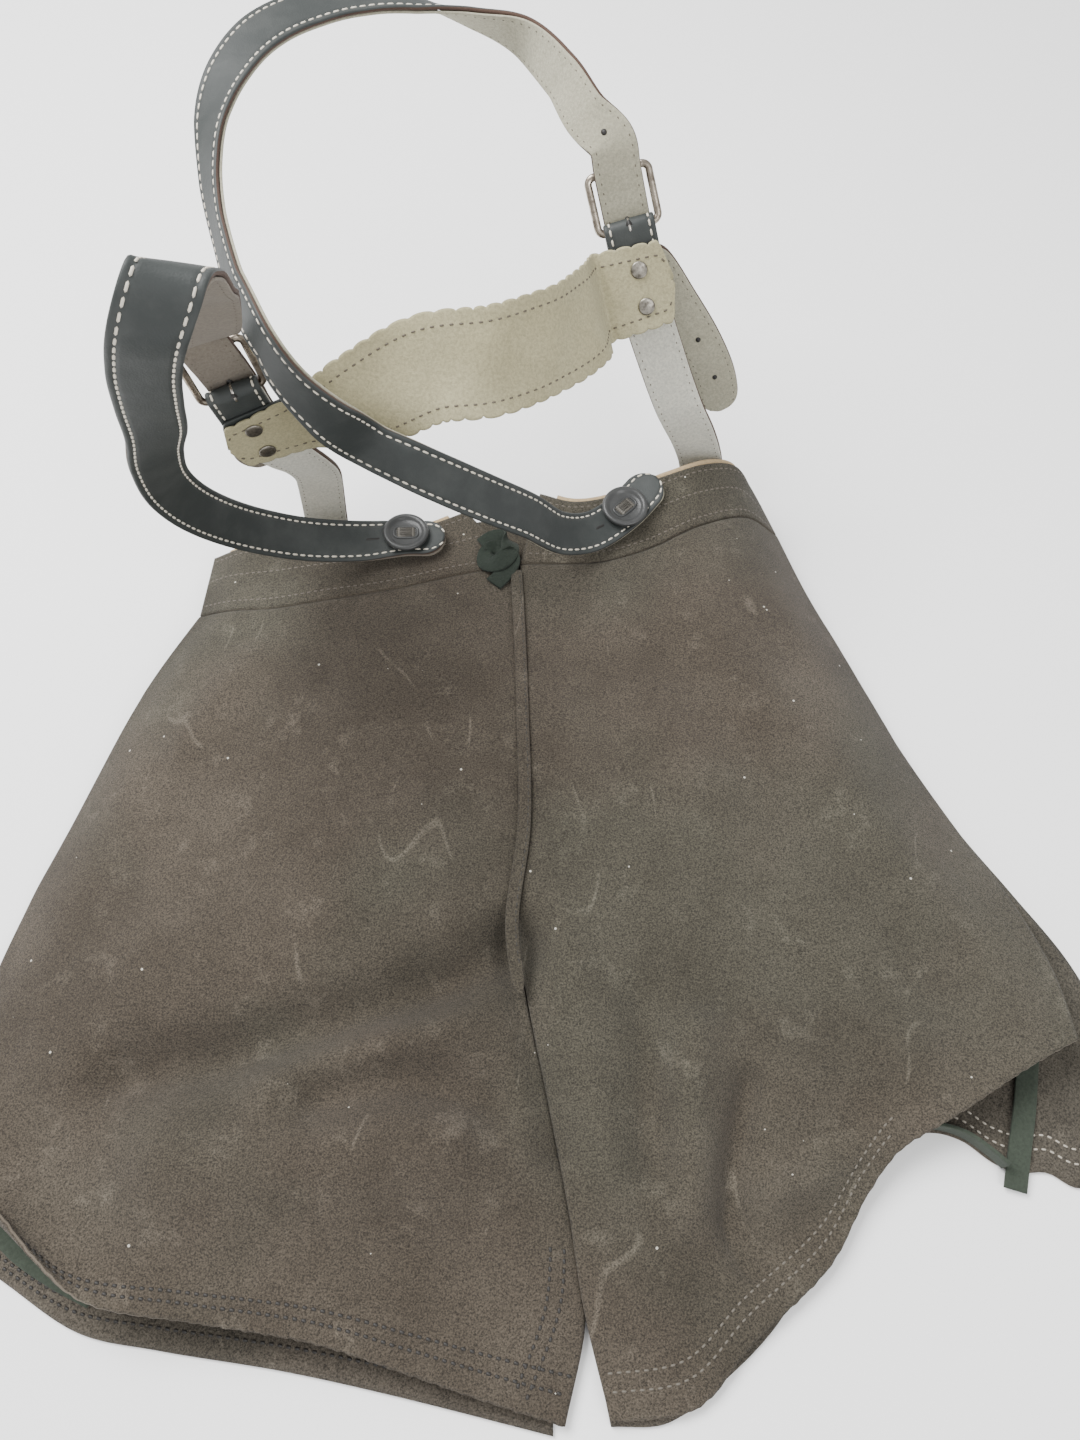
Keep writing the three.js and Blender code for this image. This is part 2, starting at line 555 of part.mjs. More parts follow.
// ---- Straps, buckles, rivets ----
const FACE_NEAR = 0.15; // half the glue line between face leather and lining
const FACE_FAR = FACE_NEAR + STRAP_FACE;
const LINING_FAR = -(FACE_NEAR + STRAP_LINING);
const TIP_ROUNDING = 9;
const STRAP_BOW = 1; // the strap bows up this much round a button
const BUTTON_AT = 1; // the button stands at this station of its strap
const SLIT_LENGTH = 22;
const SLIT_WIDTH = 1.6;
const WRAP = BUCKLE_WIRE / 2 + 0.4; // heel bar's axis to the middle of the folded strap
const FOLD_OUT = WRAP + FACE_FAR; // heel bar's axis to the outside of the fold
const RIVET_ROW = 26.5; // heel bar to the middle of the rivet pair
const OVERHANG = 14; // crossband past the middle of the front strap
const CROSSBAND_NEAR = 0.4; // the same for the crossband, which twists more
const CROSSBAND_OUT = -(FOLD_OUT + SEAT_GAP + CROSSBAND_FACE + CROSSBAND_NEAR);
const STRAIGHT = RIVET_ROW + RIVET_SPACING / 2 + 4; // folded length below the heel bar
const PRONG_HOLE = 12;

function buckleSpace({ heel, up, across }) {
  const y = vector(up).normalize();
  const x = vector(across).normalize();
  x.addScaledVector(y, -x.dot(y)).normalize();
  const z = x.clone().cross(y); // points inwards, so outward is -z
  const matrix = new THREE.Matrix4().makeBasis(x, y, z).setPosition(vector(heel));
  const at = (wide, high, out) => new THREE.Vector3(wide, high, -out).applyMatrix4(matrix);
  return { matrix, at, across: x, up: y, out: z.clone().negate() };
}

const withLengths = (frames) => {
  let length = 0;
  const measured = frames.map((frame, i) => {
    if (i) length += frame.place.distanceTo(frames[i - 1].place);
    return { ...frame, length };
  });
  return measured.map((frame) => ({ ...frame, left: length - frame.length }));
};

function buttonhole(route) {
  const frames = strapFrames(route, 1.5);
  const station = vector(route[BUTTON_AT][0]);
  const nearest = frames.reduce((a, b) => (a.place.distanceTo(station) < b.place.distanceTo(station) ? a : b));
  const seatAxes = axes(nearest.place, nearest.tangent, nearest.outward);
  const hole = rod(SHANK_DIAMETER / 2 + SHANK_CLEARANCE, -5, 6).applyMatrix4(seatAxes);
  const slit = block(0, SLIT_LENGTH, -SLIT_WIDTH / 2, SLIT_WIDTH / 2, -5, 6).applyMatrix4(seatAxes);
  return { frame: nearest, tools: () => [hole.clone(), slit.clone()] };
}

function backStrap(side, route, tail, space) {
  const through = [[37, 0], [25, 1.5], [14, 3.9], [5, 5.4], [-5, 6.8], [-14, 7.6]];
  const buckled = through.map(([high, out]) => [space.at(0, high, out).toArray(), space.across.toArray()]);
  const whole = [...route, ...buckled, ...tail];
  const frames = strapFrames(whole);
  const hole = buttonhole(route);
  const prongHole = () =>
    block(-PRONG_SLOT / 2, PRONG_SLOT / 2, -PRONG_WIRE, PRONG_HOLE, -11, -2.5).applyMatrix4(space.matrix);
  const face = strapSolid(frames, STRAP_WIDTH, FACE_NEAR, FACE_FAR, TIP_ROUNDING, TIP_ROUNDING);
  add("back_strap_" + side, cut(face, ...hole.tools(), prongHole()), "strap");
  const inner = STRAP_WIDTH - 2 * LINING_INSET;
  const lining = strapSolid(frames, inner, LINING_FAR, -FACE_NEAR, TIP_ROUNDING, TIP_ROUNDING);
  add("back_strap_lining_" + side, cut(lining, ...hole.tools(), prongHole()), "lining");
  return hole.frame;
}

function rivetPlaces(space) {
  return [-1, 1].map((row) => space.at(0, -RIVET_ROW + (row * RIVET_SPACING) / 2, 0));
}
function rivetHoles(space) {
  return rivetPlaces(space).map((place) =>
    rod(RIVET_SHANK / 2 + RIVET_CLEARANCE, -12, 9, 10).applyMatrix4(axes(place, space.up, space.out)),
  );
}

function frontStrap(side, route, space) {
  const run = (high, out, tangent) => {
    const wide = space.across.clone();
    return { place: space.at(0, high, out), tangent, wide, outward: wide.clone().cross(tangent) };
  };
  const rise = space.up.clone();
  const fall = space.up.clone().negate();
  const folded = [-STRAIGHT, -STRAIGHT / 2, -4].map((high) => run(high, -WRAP, rise));
  const ARC_STEPS = 8;
  for (let i = 0; i <= ARC_STEPS; i++) {
    const angle = (Math.PI * i) / ARC_STEPS;
    const tangent = space.up.clone().multiplyScalar(Math.cos(angle));
    tangent.addScaledVector(space.out, Math.sin(angle));
    folded.push(run(WRAP * Math.sin(angle), -WRAP * Math.cos(angle), tangent));
  }
  const outerRun = [-4, -STRAIGHT / 2].map((high) => run(high, WRAP, fall));
  const start = [-STRAIGHT + 8, -STRAIGHT].map((high) => [space.at(0, high, WRAP).toArray(), space.across.toArray()]);
  const lower = strapFrames([...start, ...route]);
  const button = buttonhole([...route].reverse());
  const faceFrames = withLengths([...folded, ...outerRun, ...lower]);
  const width = FRONT_STRAP_WIDTH;
  const face = strapSolid(faceFrames, width, FACE_NEAR, FACE_FAR, 0, TIP_ROUNDING);
  const slot = block(-PRONG_SLOT / 2, PRONG_SLOT / 2, -5, 7, -6, 6).applyMatrix4(space.matrix);
  add("front_strap_" + side, cut(face, slot, ...button.tools(), ...rivetHoles(space)), "strap");
  const liningFrames = withLengths([...outerRun, ...lower]);
  const inner = width - 2 * LINING_INSET;
  const lining = strapSolid(liningFrames, inner, LINING_FAR, -FACE_NEAR, 0, TIP_ROUNDING);
  add("front_strap_lining_" + side, cut(lining, slot, ...button.tools(), ...rivetHoles(space)), "lining");
  return button.frame;
}

function buckle(side, space) {
  const inner = FRONT_STRAP_WIDTH / 2 + BUCKLE_SIDE_CLEARANCE;
  const outer = inner + BUCKLE_WIRE;
  const half = BUCKLE_WIRE / 2;
  const bevel = 0.6;
  const corner = 2.5;
  const outline = (shape, x, low, high, r) => {
    shape.moveTo(x, low + r).lineTo(x, high - r).quadraticCurveTo(x, high, x - r, high);
    shape.lineTo(-x + r, high).quadraticCurveTo(-x, high, -x, high - r);
    shape.lineTo(-x, low + r).quadraticCurveTo(-x, low, -x + r, low);
    shape.lineTo(x - r, low).quadraticCurveTo(x, low, x, low + r);
    return shape;
  };
  const ring = outline(new THREE.Shape(), outer - bevel, -half + bevel, BUCKLE_LENGTH + half - bevel, corner);
  ring.holes.push(outline(new THREE.Path(), inner + bevel, half - bevel, BUCKLE_LENGTH - half + bevel, 1));
  const geometry = new THREE.ExtrudeGeometry(ring, {
    depth: BUCKLE_WIRE - 2 * bevel,
    bevelThickness: bevel,
    bevelSize: bevel,
    bevelSegments: 2,
    curveSegments: 4,
  });
  geometry.translate(0, 0, -half + bevel).rotateX(-Math.asin(BUCKLE_LIFT / BUCKLE_LENGTH));
  add("buckle_frame_" + side, geometry, "buckle", space.matrix);

  const eye = new THREE.TorusGeometry(half + 0.35 + PRONG_WIRE / 2, PRONG_WIRE / 2, 8, 18).rotateY(Math.PI / 2);
  const tipBar = BUCKLE_LIFT + half + SEAT_GAP + PRONG_WIRE / 2;
  const arm = new THREE.CatmullRomCurve3(
    [[1.8, 2], [3.6, 4.6], [6.6, 8], [11, 9.4], [18, 9.2], [BUCKLE_LENGTH, tipBar + 0.2], [BUCKLE_LENGTH + 2, tipBar]].map(
      ([high, out]) => new THREE.Vector3(0, high, -out),
    ),
  );
  const section = new THREE.Shape().absarc(0, 0, PRONG_WIRE / 2, 0, 2 * Math.PI);
  const armGeometry = new THREE.ExtrudeGeometry(section, { extrudePath: arm, steps: 18, curveSegments: 4 });
  add("buckle_prong_" + side, join(eye, armGeometry), "buckle", space.matrix);

  rivetPlaces(space).forEach((place, i) => {
    const cap = RIVET_CAP / 2;
    const inside = CROSSBAND_OUT - CROSSBAND_NEAR - CROSSBAND_LINING - SEAT_GAP;
    const outside = FOLD_OUT + SEAT_GAP;
    const profile = [
      [0, inside - RIVET_CAP_HEIGHT], [0.65 * cap, inside - 0.9 * RIVET_CAP_HEIGHT],
      [cap, inside - 0.4 * RIVET_CAP_HEIGHT], [cap, inside], [RIVET_SHANK / 2, inside],
      [RIVET_SHANK / 2, outside], [cap, outside], [cap, outside + 0.4 * RIVET_CAP_HEIGHT],
      [0.65 * cap, outside + 0.9 * RIVET_CAP_HEIGHT], [0, outside + RIVET_CAP_HEIGHT],
    ];
    const name = "rivet_" + side + "_" + ["lower", "upper"][i];
    add(name, turned(profile, 16), "rivet", axes(place, space.across, space.out));
  });
}

const spaces = { left: buckleSpace(BUCKLE_LEFT), right: buckleSpace(BUCKLE_RIGHT) };
const backSeats = {
  left: backStrap("left", BACK_STRAP_LEFT, TAIL_LEFT, spaces.left),
  right: backStrap("right", BACK_STRAP_RIGHT, TAIL_RIGHT, spaces.right),
};
const frontSeats = {
  left: frontStrap("left", FRONT_STRAP_LEFT, spaces.left),
  right: frontStrap("right", FRONT_STRAP_RIGHT, spaces.right),
};
for (const side of ["left", "right"]) {
  buckle(side, spaces[side]);
  // Back buttons: the thread stands on the waistband below the strap.
  const drop = { left: BACK_DROP_LEFT, right: BACK_DROP_RIGHT }[side];
  const { place, tangent, outward } = backSeats[side];
  const foot = place.clone().addScaledVector(outward, -drop);
  button("back_button_" + side, BUTTON_DIAMETER, foot, tangent, outward, drop + FACE_FAR + STRAP_BOW);
  // Front buttons hang under the front waistband, below the strap's buttonhole.
  const front = frontSeats[side].place;
  const frontFoot = new THREE.Vector3(front.x, front.y, FRONT_LIFT);
  const reach = FRONT_LIFT - front.z + FACE_FAR + SEAT_GAP;
  button("front_button_" + side, BUTTON_DIAMETER, frontFoot, new THREE.Vector3(1, 0, 0), down, reach);
}

// Crossband: face leather outside, cream lining with scalloped edges inside.
function crossbandRoute() {
  const end = (space, along) => [
    space.at(along, -RIVET_ROW, CROSSBAND_OUT).toArray(),
    space.up.toArray(),
  ];
  const left = [-OVERHANG, 0, OVERHANG, OVERHANG + 6].map((along) => end(spaces.left, along));
  const right = [-OVERHANG - 6, -OVERHANG, 0, OVERHANG].map((along) => end(spaces.right, along));
  return [...left, ...CROSSBAND, ...right];
}
const crossFrames = strapFrames(crossbandRoute(), 7);
const crossWidth = (less) => (length, left) => {
  const share = (4 * length * left) / (length + left) ** 2;
  return CROSSBAND_END + (CROSSBAND_MIDDLE - CROSSBAND_END) * share - less;
};
const crossHoles = () => [...rivetHoles(spaces.left), ...rivetHoles(spaces.right)];
const crossFace = strapSolid(crossFrames, crossWidth(2 * SCALLOP_RISE), CROSSBAND_NEAR, CROSSBAND_NEAR + CROSSBAND_FACE);
add("crossband_face", cut(crossFace, ...crossHoles()), "strap");
const crossLining = strapSolid(crossFrames, crossWidth(0), -(CROSSBAND_NEAR + CROSSBAND_LINING), -CROSSBAND_NEAR);
add("crossband_lining", cut(crossLining, ...crossHoles()), "cream");

// ---- Laces ----
for (const [name, route, width] of [
  ["hem_lace_left", HEM_LACE_LEFT, LACE_WIDTH],
  ["hem_lace_right_run", HEM_LACE_RIGHT_RUN, LACE_WIDTH],
  ["hem_lace_right_end", HEM_LACE_RIGHT_END, LACE_WIDTH],
  ["adjuster_lace_knot", ADJUSTER_LACE, LACE_WIDTH],
]) {
  const half = LACE_THICKNESS / 2;
  add(name, strapSolid(strapFrames(route, 6), width, -half, half), "lace");
}

// The origin is the middle of the footprint at table height.
const box = new THREE.Box3().setFromObject(object);
const middle = box.getCenter(new THREE.Vector3());
object.position.set(-middle.x, -middle.y, -box.min.z);

export default object;
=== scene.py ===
"""Child's suede leather shorts with leather H-braces, lying front face down with the braces standing up."""

import math

import bpy
import numpy as np
from mathutils import Matrix


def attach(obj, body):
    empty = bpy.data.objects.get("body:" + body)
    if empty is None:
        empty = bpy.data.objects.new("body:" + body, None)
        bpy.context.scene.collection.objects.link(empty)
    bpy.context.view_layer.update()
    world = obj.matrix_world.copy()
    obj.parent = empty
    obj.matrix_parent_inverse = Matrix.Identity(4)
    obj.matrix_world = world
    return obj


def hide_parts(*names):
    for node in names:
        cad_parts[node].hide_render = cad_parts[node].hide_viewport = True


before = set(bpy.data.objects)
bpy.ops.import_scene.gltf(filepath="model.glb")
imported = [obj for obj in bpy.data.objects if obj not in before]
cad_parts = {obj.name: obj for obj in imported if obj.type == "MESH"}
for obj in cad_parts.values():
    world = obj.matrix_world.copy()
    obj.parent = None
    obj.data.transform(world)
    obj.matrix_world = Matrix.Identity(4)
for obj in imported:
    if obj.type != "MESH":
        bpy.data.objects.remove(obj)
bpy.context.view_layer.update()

# ---- Viewpoint ----
# The table is looked down on at 60 degrees, from above a point just below the hems.
# Outlines below are in millimetres from that point; the object's own origin is the middle of its footprint.
ORIGIN_SHIFT = np.array([-1.927, -261.862, 0.0])
EYE = np.array([0.0, 0.0, 494.0])
MM = 0.001
camera_data = bpy.data.cameras.new("camera")
camera = bpy.data.objects.new("camera", camera_data)
bpy.context.scene.collection.objects.link(camera)
camera_data.sensor_fit = "VERTICAL"
camera_data.sensor_height = 24.0
camera_data.lens = 18.133
camera_data.clip_start = 0.01
camera.location = (EYE + ORIGIN_SHIFT) * MM
camera.rotation_euler = (math.radians(30), 0, 0)
bpy.context.scene.camera = camera

# ---- Hem laces ----
# Flat leather laces for tying the leg slits: one lies between the layers of the left hem, the other
# runs along the right front hem and hangs out past it, cut off at a slant.
LACE_WIDTH = 9.5
LACE_THICKNESS = 1.5


def running_length(path):
    """Length along the path from its start to each of its points."""
    return np.concatenate([[0], np.cumsum(np.linalg.norm(np.diff(path, axis=0), axis=1))])


def smooth_curve(stations, per_span=48):
    """Centripetal Catmull-Rom curve through the stations, run straight on at both ends.
    Returns its points, their running lengths and the running length at each station."""
    p = np.asarray(stations, float)
    p = np.vstack([2 * p[0] - p[1], p, 2 * p[-1] - p[-2]])
    gap = np.maximum(np.linalg.norm(np.diff(p, axis=0), axis=1) ** 0.5, 1e-4)[:, None]
    before, here, there, after = p[:-3], p[1:-2], p[2:-1], p[3:]
    d0, d1, d2 = gap[:-2], gap[1:-1], gap[2:]
    leave = ((here - before) / d0 - (there - before) / (d0 + d1) + (there - here) / d1) * d1
    reach = ((there - here) / d1 - (after - here) / (d1 + d2) + (after - there) / d2) * d1
    t = np.linspace(0, 1, per_span, endpoint=False)[None, :, None]
    here, there, leave, reach = (a[:, None, :] for a in (here, there, leave, reach))
    spans = (
        here
        + leave * t
        + (3 * (there - here) - 2 * leave - reach) * t**2
        + (2 * (here - there) + leave + reach) * t**3
    )
    path = np.vstack([spans.reshape(-1, p.shape[1]), p[-2]])
    length = running_length(path)
    return path, length, length[::per_span]


def at_length(path, length, where):
    """Points of the path at the given running lengths."""
    return np.stack([np.interp(where, length, path[:, k]) for k in range(path.shape[1])], axis=-1)


def unit(v):
    """Each vector divided by its length."""
    return v / np.linalg.norm(v, axis=-1, keepdims=True)


def strap_frames(route, step, even=5.0):
    """Places along a strap's middle line with its tangent, its direction across and its outward normal
    (across x tangent). Across is carried from station to station and evened out over a few millimetres."""
    places, across = (np.array(part, float) for part in zip(*route))
    path, length, marks = smooth_curve(places)
    count = int(math.ceil(length[-1] / step))
    where = np.linspace(0, length[-1], count + 1)
    middle = at_length(path, length, where)
    tangent = unit(np.gradient(middle, where, axis=0))
    wide = at_length(unit(across), marks, where)
    reach = max(1, int(even / (where[1] - where[0])))
    kernel = np.hanning(2 * reach + 3)[1:-1]
    padded = np.pad(wide, ((reach, reach), (0, 0)), mode="edge")
    wide = np.stack([np.convolve(padded[:, k], kernel / kernel.sum(), "valid") for k in range(3)], -1)
    wide = unit(wide - (wide * tangent).sum(1, keepdims=True) * tangent)
    out = np.cross(wide, tangent)
    return {"middle": middle, "tangent": tangent, "wide": wide, "out": out, "length": where}


def new_piece(name, points, quads, materials, tris=(), slots=None):
    """A smooth-shaded closed mesh from points in millimetres, four-cornered and three-cornered faces, and one
    material index for each face, four-cornered ones first."""
    quads = np.asarray(quads, np.int32).reshape(-1, 4)
    tris = np.asarray(tris, np.int32).reshape(-1, 3)
    mesh = bpy.data.meshes.new(name)
    mesh.vertices.add(len(points))
    mesh.vertices.foreach_set("co", ((np.asarray(points) + ORIGIN_SHIFT) * MM).astype(np.float32).ravel())
    mesh.loops.add(quads.size + tris.size)
    mesh.loops.foreach_set("vertex_index", np.concatenate([quads.ravel(), tris.ravel()]))
    mesh.polygons.add(len(quads) + len(tris))
    starts = np.concatenate([4 * np.arange(len(quads)), quads.size + 3 * np.arange(len(tris))])
    mesh.polygons.foreach_set("loop_start", starts.astype(np.int32))
    for material in materials:
        mesh.materials.append(material)
    if slots is not None:
        mesh.polygons.foreach_set("material_index", np.asarray(slots, np.int32))
    mesh.update(calc_edges=True)
    mesh.validate()
    mesh.polygons.foreach_set("use_smooth", np.ones(len(mesh.polygons), bool))
    piece = bpy.data.objects.new(name, mesh)
    bpy.context.scene.collection.objects.link(piece)
    return piece


def tube_faces(rings, corners, closed=False):
    """Four-cornered faces between rings of points that follow one another, back to the first if closed."""
    i, k = np.meshgrid(np.arange(rings if closed else rings - 1), np.arange(corners), indexing="ij")
    nxt, ahead = (k + 1) % corners, (i + 1) % rings
    quads = [i * corners + k, i * corners + nxt, ahead * corners + nxt, ahead * corners + k]
    return np.stack(quads, -1).reshape(-1, 4)


def end_fans(rings, corners):
    """Three-cornered faces that close the first and the last ring on the two points that follow the rings."""
    k = np.arange(corners)
    nxt = (k + 1) % corners
    top = (rings - 1) * corners
    first = np.stack([np.full(corners, rings * corners), nxt, k], -1)
    last = np.stack([np.full(corners, rings * corners + 1), top + k, top + nxt], -1)
    return np.vstack([first, last])


def swept(name, frames, profile, materials, reach=None, slots=None):
    """A profile of (across, outward) points carried along the frames; reach scales the across part at each
    frame, and both ends close on a flat fan of faces, which take the last of the profile's material slots."""
    n, m = len(frames["middle"]), len(profile)
    reach = np.ones(n) if reach is None else reach
    across = profile[None, :, 0, None] * reach[:, None, None] * frames["wide"][:, None, :]
    outward = profile[None, :, 1, None] * frames["out"][:, None, :]
    rings = frames["middle"][:, None, :] + across + outward
    points = np.vstack([rings.reshape(-1, 3), rings[0].mean(0), rings[-1].mean(0)])
    faces = None
    if slots is not None:
        faces = np.concatenate([np.tile(slots, n - 1), np.full(2 * m, max(slots))])
    return new_piece(name, points, tube_faces(n, m), materials, end_fans(n, m), faces)


def band_profile(width, near, far, corner=0.35, across=9):
    """Cross-section of a flat band with eased corners, anticlockwise seen along the tangent: across the far
    face from right to left, then back across the near face."""
    half = width / 2
    turn = np.linspace(0, math.pi / 2, 3)
    corner = min(corner, (far - near) / 2 - 0.01)
    x = np.linspace(half - corner, -(half - corner), across)
    far_side = np.stack([x, np.full(across, far)], -1)
    left_far = np.stack([-(half - corner) - corner * np.sin(turn), far - corner + corner * np.cos(turn)], -1)
    inner = half - corner
    left_near = np.stack([-inner - corner * np.cos(turn), near + corner - corner * np.sin(turn)], -1)
    near_side = np.stack([x[::-1], np.full(across, near)], -1)
    right_near = np.stack([half - corner + corner * np.sin(turn), near + corner - corner * np.cos(turn)], -1)
    right_far = np.stack([half - corner + corner * np.cos(turn), far - corner + corner * np.sin(turn)], -1)
    rows = [far_side, left_far[1:], left_near[:-1], near_side, right_near[1:], right_far[:-1]]
    return np.vstack(rows)


def rounded_reach(length, start=0.0, end=0.0):
    """Share of the full width along a strap whose ends are rounded to the given radii."""
    left = length[-1] - length
    reach = np.ones(len(length))
    for away, radius in ((length, start), (left, end)):
        if radius:
            inside = np.clip(1 - away / radius, 0, 0.995)
            reach *= np.sqrt(1 - inside**2)
    return reach


def named_group(name, sockets):
    """A shader node group with the given (name, in or out, kind) sockets, its input and output nodes."""
    group = bpy.data.node_groups.new(name, "ShaderNodeTree")
    for label, way, kind in sockets:
        group.interface.new_socket(label, in_out=way, socket_type="NodeSocket" + kind)
    return group, group.nodes.new("NodeGroupInput"), group.nodes.new("NodeGroupOutput")


def node(tree, kind, **values):
    """A shader node with its properties and unlinked sockets set by name."""
    made = tree.nodes.new("ShaderNode" + kind)
    for key, value in values.items():
        if hasattr(made, key):
            setattr(made, key, value)
        else:
            made.inputs[key.replace("_", " ")].default_value = value
    return made


def feed(tree, value, socket):
    """Sets a socket: a number or a colour as its value, another socket as a link."""
    if isinstance(value, bpy.types.NodeSocket):
        tree.links.new(value, socket)
    else:
        socket.default_value = (*value, 1) if isinstance(value, tuple) else value


def texture(tree, kind, place, **values):
    """A noise or cell texture read at a place."""
    made = node(tree, kind, **values)
    feed(tree, place, made.inputs["Vector"])
    return made


def spread(tree, value, low=0.0, high=1.0, to_low=0.0, to_high=1.0):
    """A value stretched from low..high to to_low..to_high, and held at both ends."""
    made = node(tree, "MapRange", From_Min=low, From_Max=high, To_Min=to_low, To_Max=to_high)
    feed(tree, value, made.inputs["Value"])
    return made.outputs["Result"]


def mixed(tree, factor, first, second, **values):
    """Two colours mixed by a factor."""
    made = node(tree, "Mix", data_type="RGBA", **values)
    feed(tree, factor, made.inputs["Factor"])
    feed(tree, first, made.inputs[6])
    feed(tree, second, made.inputs[7])
    return made.outputs[2]


def raised(tree, height, strength, distance, under=None):
    """The normal of a surface raised by a height, over the normal of a broader relief if one is given."""
    made = node(tree, "Bump", Distance=distance)
    feed(tree, height, made.inputs["Height"])
    feed(tree, strength, made.inputs["Strength"])
    if under is not None:
        feed(tree, under, made.inputs["Normal"])
    return made.outputs["Normal"]


def nap_group():
    """Napped leather: two colours mixed by soft patches and thin curved scuffs, darkened by the grain, with
    a few pale specks; its normal comes from fine fibres over soft waves. All read from Object coordinates."""
    group, inside, outside = named_group(
        "napped leather",
        [
            ("Colour", "INPUT", "Color"),
            ("Rubbed", "INPUT", "Color"),
            ("Grain", "INPUT", "Float"),
            ("Strength", "INPUT", "Float"),
            ("Scuffs", "INPUT", "Float"),
            ("Contrast", "INPUT", "Float"),
            ("Colour", "OUTPUT", "Color"),
            ("Normal", "OUTPUT", "Vector"),
        ],
    )
    place = node(group, "TexCoord").outputs["Object"]

    def noise(scale, detail, roughness, where=place):
        made = texture(group, "TexNoise", where, Scale=scale, Detail=detail, Roughness=roughness)
        return made.outputs["Fac"]

    def combine(operation, first, second):
        made = node(group, "Math", operation=operation)
        feed(group, first, made.inputs[0])
        feed(group, second, made.inputs[1])
        return made.outputs["Value"]

    blotch = spread(group, noise(13.0, 6.0, 0.62), 0.38, 0.68, 0.0, 0.42)
    # A scuff follows the thin line where a wandering field passes one half, and only inside a few patches.
    drawn_out = node(group, "Mapping", Scale=(1.0, 0.42, 1.0), Rotation=(0, 0, 0.2))
    feed(group, place, drawn_out.inputs["Vector"])
    wandering = noise(21.0, 1.0, 0.4, drawn_out.outputs["Vector"])
    off_line = combine("ABSOLUTE", combine("SUBTRACT", wandering, 0.5), 0.0)
    thin = spread(group, off_line, 0.008, 0.002)
    patch = spread(group, noise(30.0, 2.0, 0.5), 0.55, 0.62, 0.0, 0.6)
    rubbed_away = spread(group, noise(46.0, 7.0, 0.75), 0.56, 0.70, 0.0, 0.6)
    marks = combine("ADD", combine("MULTIPLY", thin, patch), rubbed_away)
    scuffs = combine("MULTIPLY", marks, inside.outputs["Scuffs"])
    worn = combine("ADD", blotch, scuffs)
    rubbed = mixed(group, worn, inside.outputs["Colour"], inside.outputs["Rubbed"], clamp_factor=True)
    fibres = texture(group, "TexNoise", place, Detail=4.0, Roughness=0.75)
    feed(group, inside.outputs["Grain"], fibres.inputs["Scale"])
    fine = fibres.outputs["Fac"]
    shade = spread(group, fine, 0.36, 0.62, 0.30, 1.55)
    grained = mixed(group, inside.outputs["Contrast"], rubbed, shade, blend_type="MULTIPLY")
    # The dye leans to green in broad patches and to brown in others.
    leaning = spread(group, noise(5.0, 3.0, 0.55), 0.44, 0.60)
    hue = mixed(group, leaning, (1.03, 0.99, 0.95), (0.92, 0.97, 0.92))
    dyed = mixed(group, inside.outputs["Scuffs"], grained, hue, blend_type="MULTIPLY")
    cells = texture(group, "TexVoronoi", place, Scale=62.0)
    near_cell = combine("LESS_THAN", cells.outputs["Distance"], 0.035)
    dot = combine("MULTIPLY", near_cell, inside.outputs["Scuffs"])
    specked = mixed(group, dot, dyed, (0.5, 0.48, 0.42), clamp_factor=True)
    soft = raised(group, noise(60.0, 3.0, 0.5), 0.3, 0.002)
    feed(group, specked, outside.inputs["Colour"])
    feed(group, raised(group, fine, inside.outputs["Strength"], 0.0008, soft), outside.inputs["Normal"])
    return group


NAP = nap_group()


def new_finish(name, **values):
    """A material and its Principled shader, with that shader's unlinked sockets set by name."""
    material = bpy.data.materials.new(name)
    material.use_nodes = True
    shader = material.node_tree.nodes["Principled BSDF"]
    for key, value in values.items():
        feed(material.node_tree, value, shader.inputs[key.replace("_", " ")])
    return material, shader


def napped(name, colour, rubbed, grain=900.0, strength=0.5, scuffs=0.0, contrast=0.25):
    """A napped leather finish in two colours: matt, with a faint sheen."""
    material, shader = new_finish(
        name, Roughness=0.95, Specular_IOR_Level=0.2, Sheen_Weight=0.05, Sheen_Roughness=0.6
    )
    tree = material.node_tree
    leather = tree.nodes.new("ShaderNodeGroup")
    leather.node_tree = NAP
    for label, value in (
        ("Colour", colour), ("Rubbed", rubbed), ("Grain", grain),
        ("Strength", strength), ("Scuffs", scuffs), ("Contrast", contrast),
    ):
        feed(tree, value, leather.inputs[label])
    feed(tree, leather.outputs["Colour"], shader.inputs["Base Color"])
    feed(tree, leather.outputs["Normal"], shader.inputs["Normal"])
    return material


LACE_GREEN = napped("green lace leather", (0.027, 0.035, 0.026), (0.052, 0.062, 0.046), grain=700, strength=0.3)
LACES = {
    "hem_lace_left": [
        [[-245, 100, 4], [0.97, 0.2, 0]], [[-242, 78, 3.4], [0.95, 0.3, 0]], [[-232, 56, 3.2], [0.8, 0.6, 0]],
        [[-216, 38, 3.2], [0.6, 0.8, 0]], [[-198, 27, 3.2], [0.42, 0.9, 0]], [[-178, 18, 3.2], [0.42, 0.9, 0]],
    ],
    "hem_lace_right_run": [
        [[144, 71, 6.9], [0, 0, 1]], [[154, 79, 6.9], [0, 0, 1]], [[166, 82, 6.9], [0, 0, 1]],
        [[179, 79, 6.9], [0, 0, 1]], [[190, 71, 6.9], [0, 0, 1]], [[195, 66, 6.9], [0, 0, 1]],
    ],
    "hem_lace_right_end": [
        [[219, 124, 3.2], [0.94, -0.3, 0]], [[214, 106, 3.2], [0.94, -0.3, 0]], [[209, 89, 3.3], [0.95, -0.25, 0]],
        [[203, 72, 3.6], [0.97, -0.2, 0]], [[198.5, 57, 2.2], [0.97, -0.2, 0]],
    ],
}
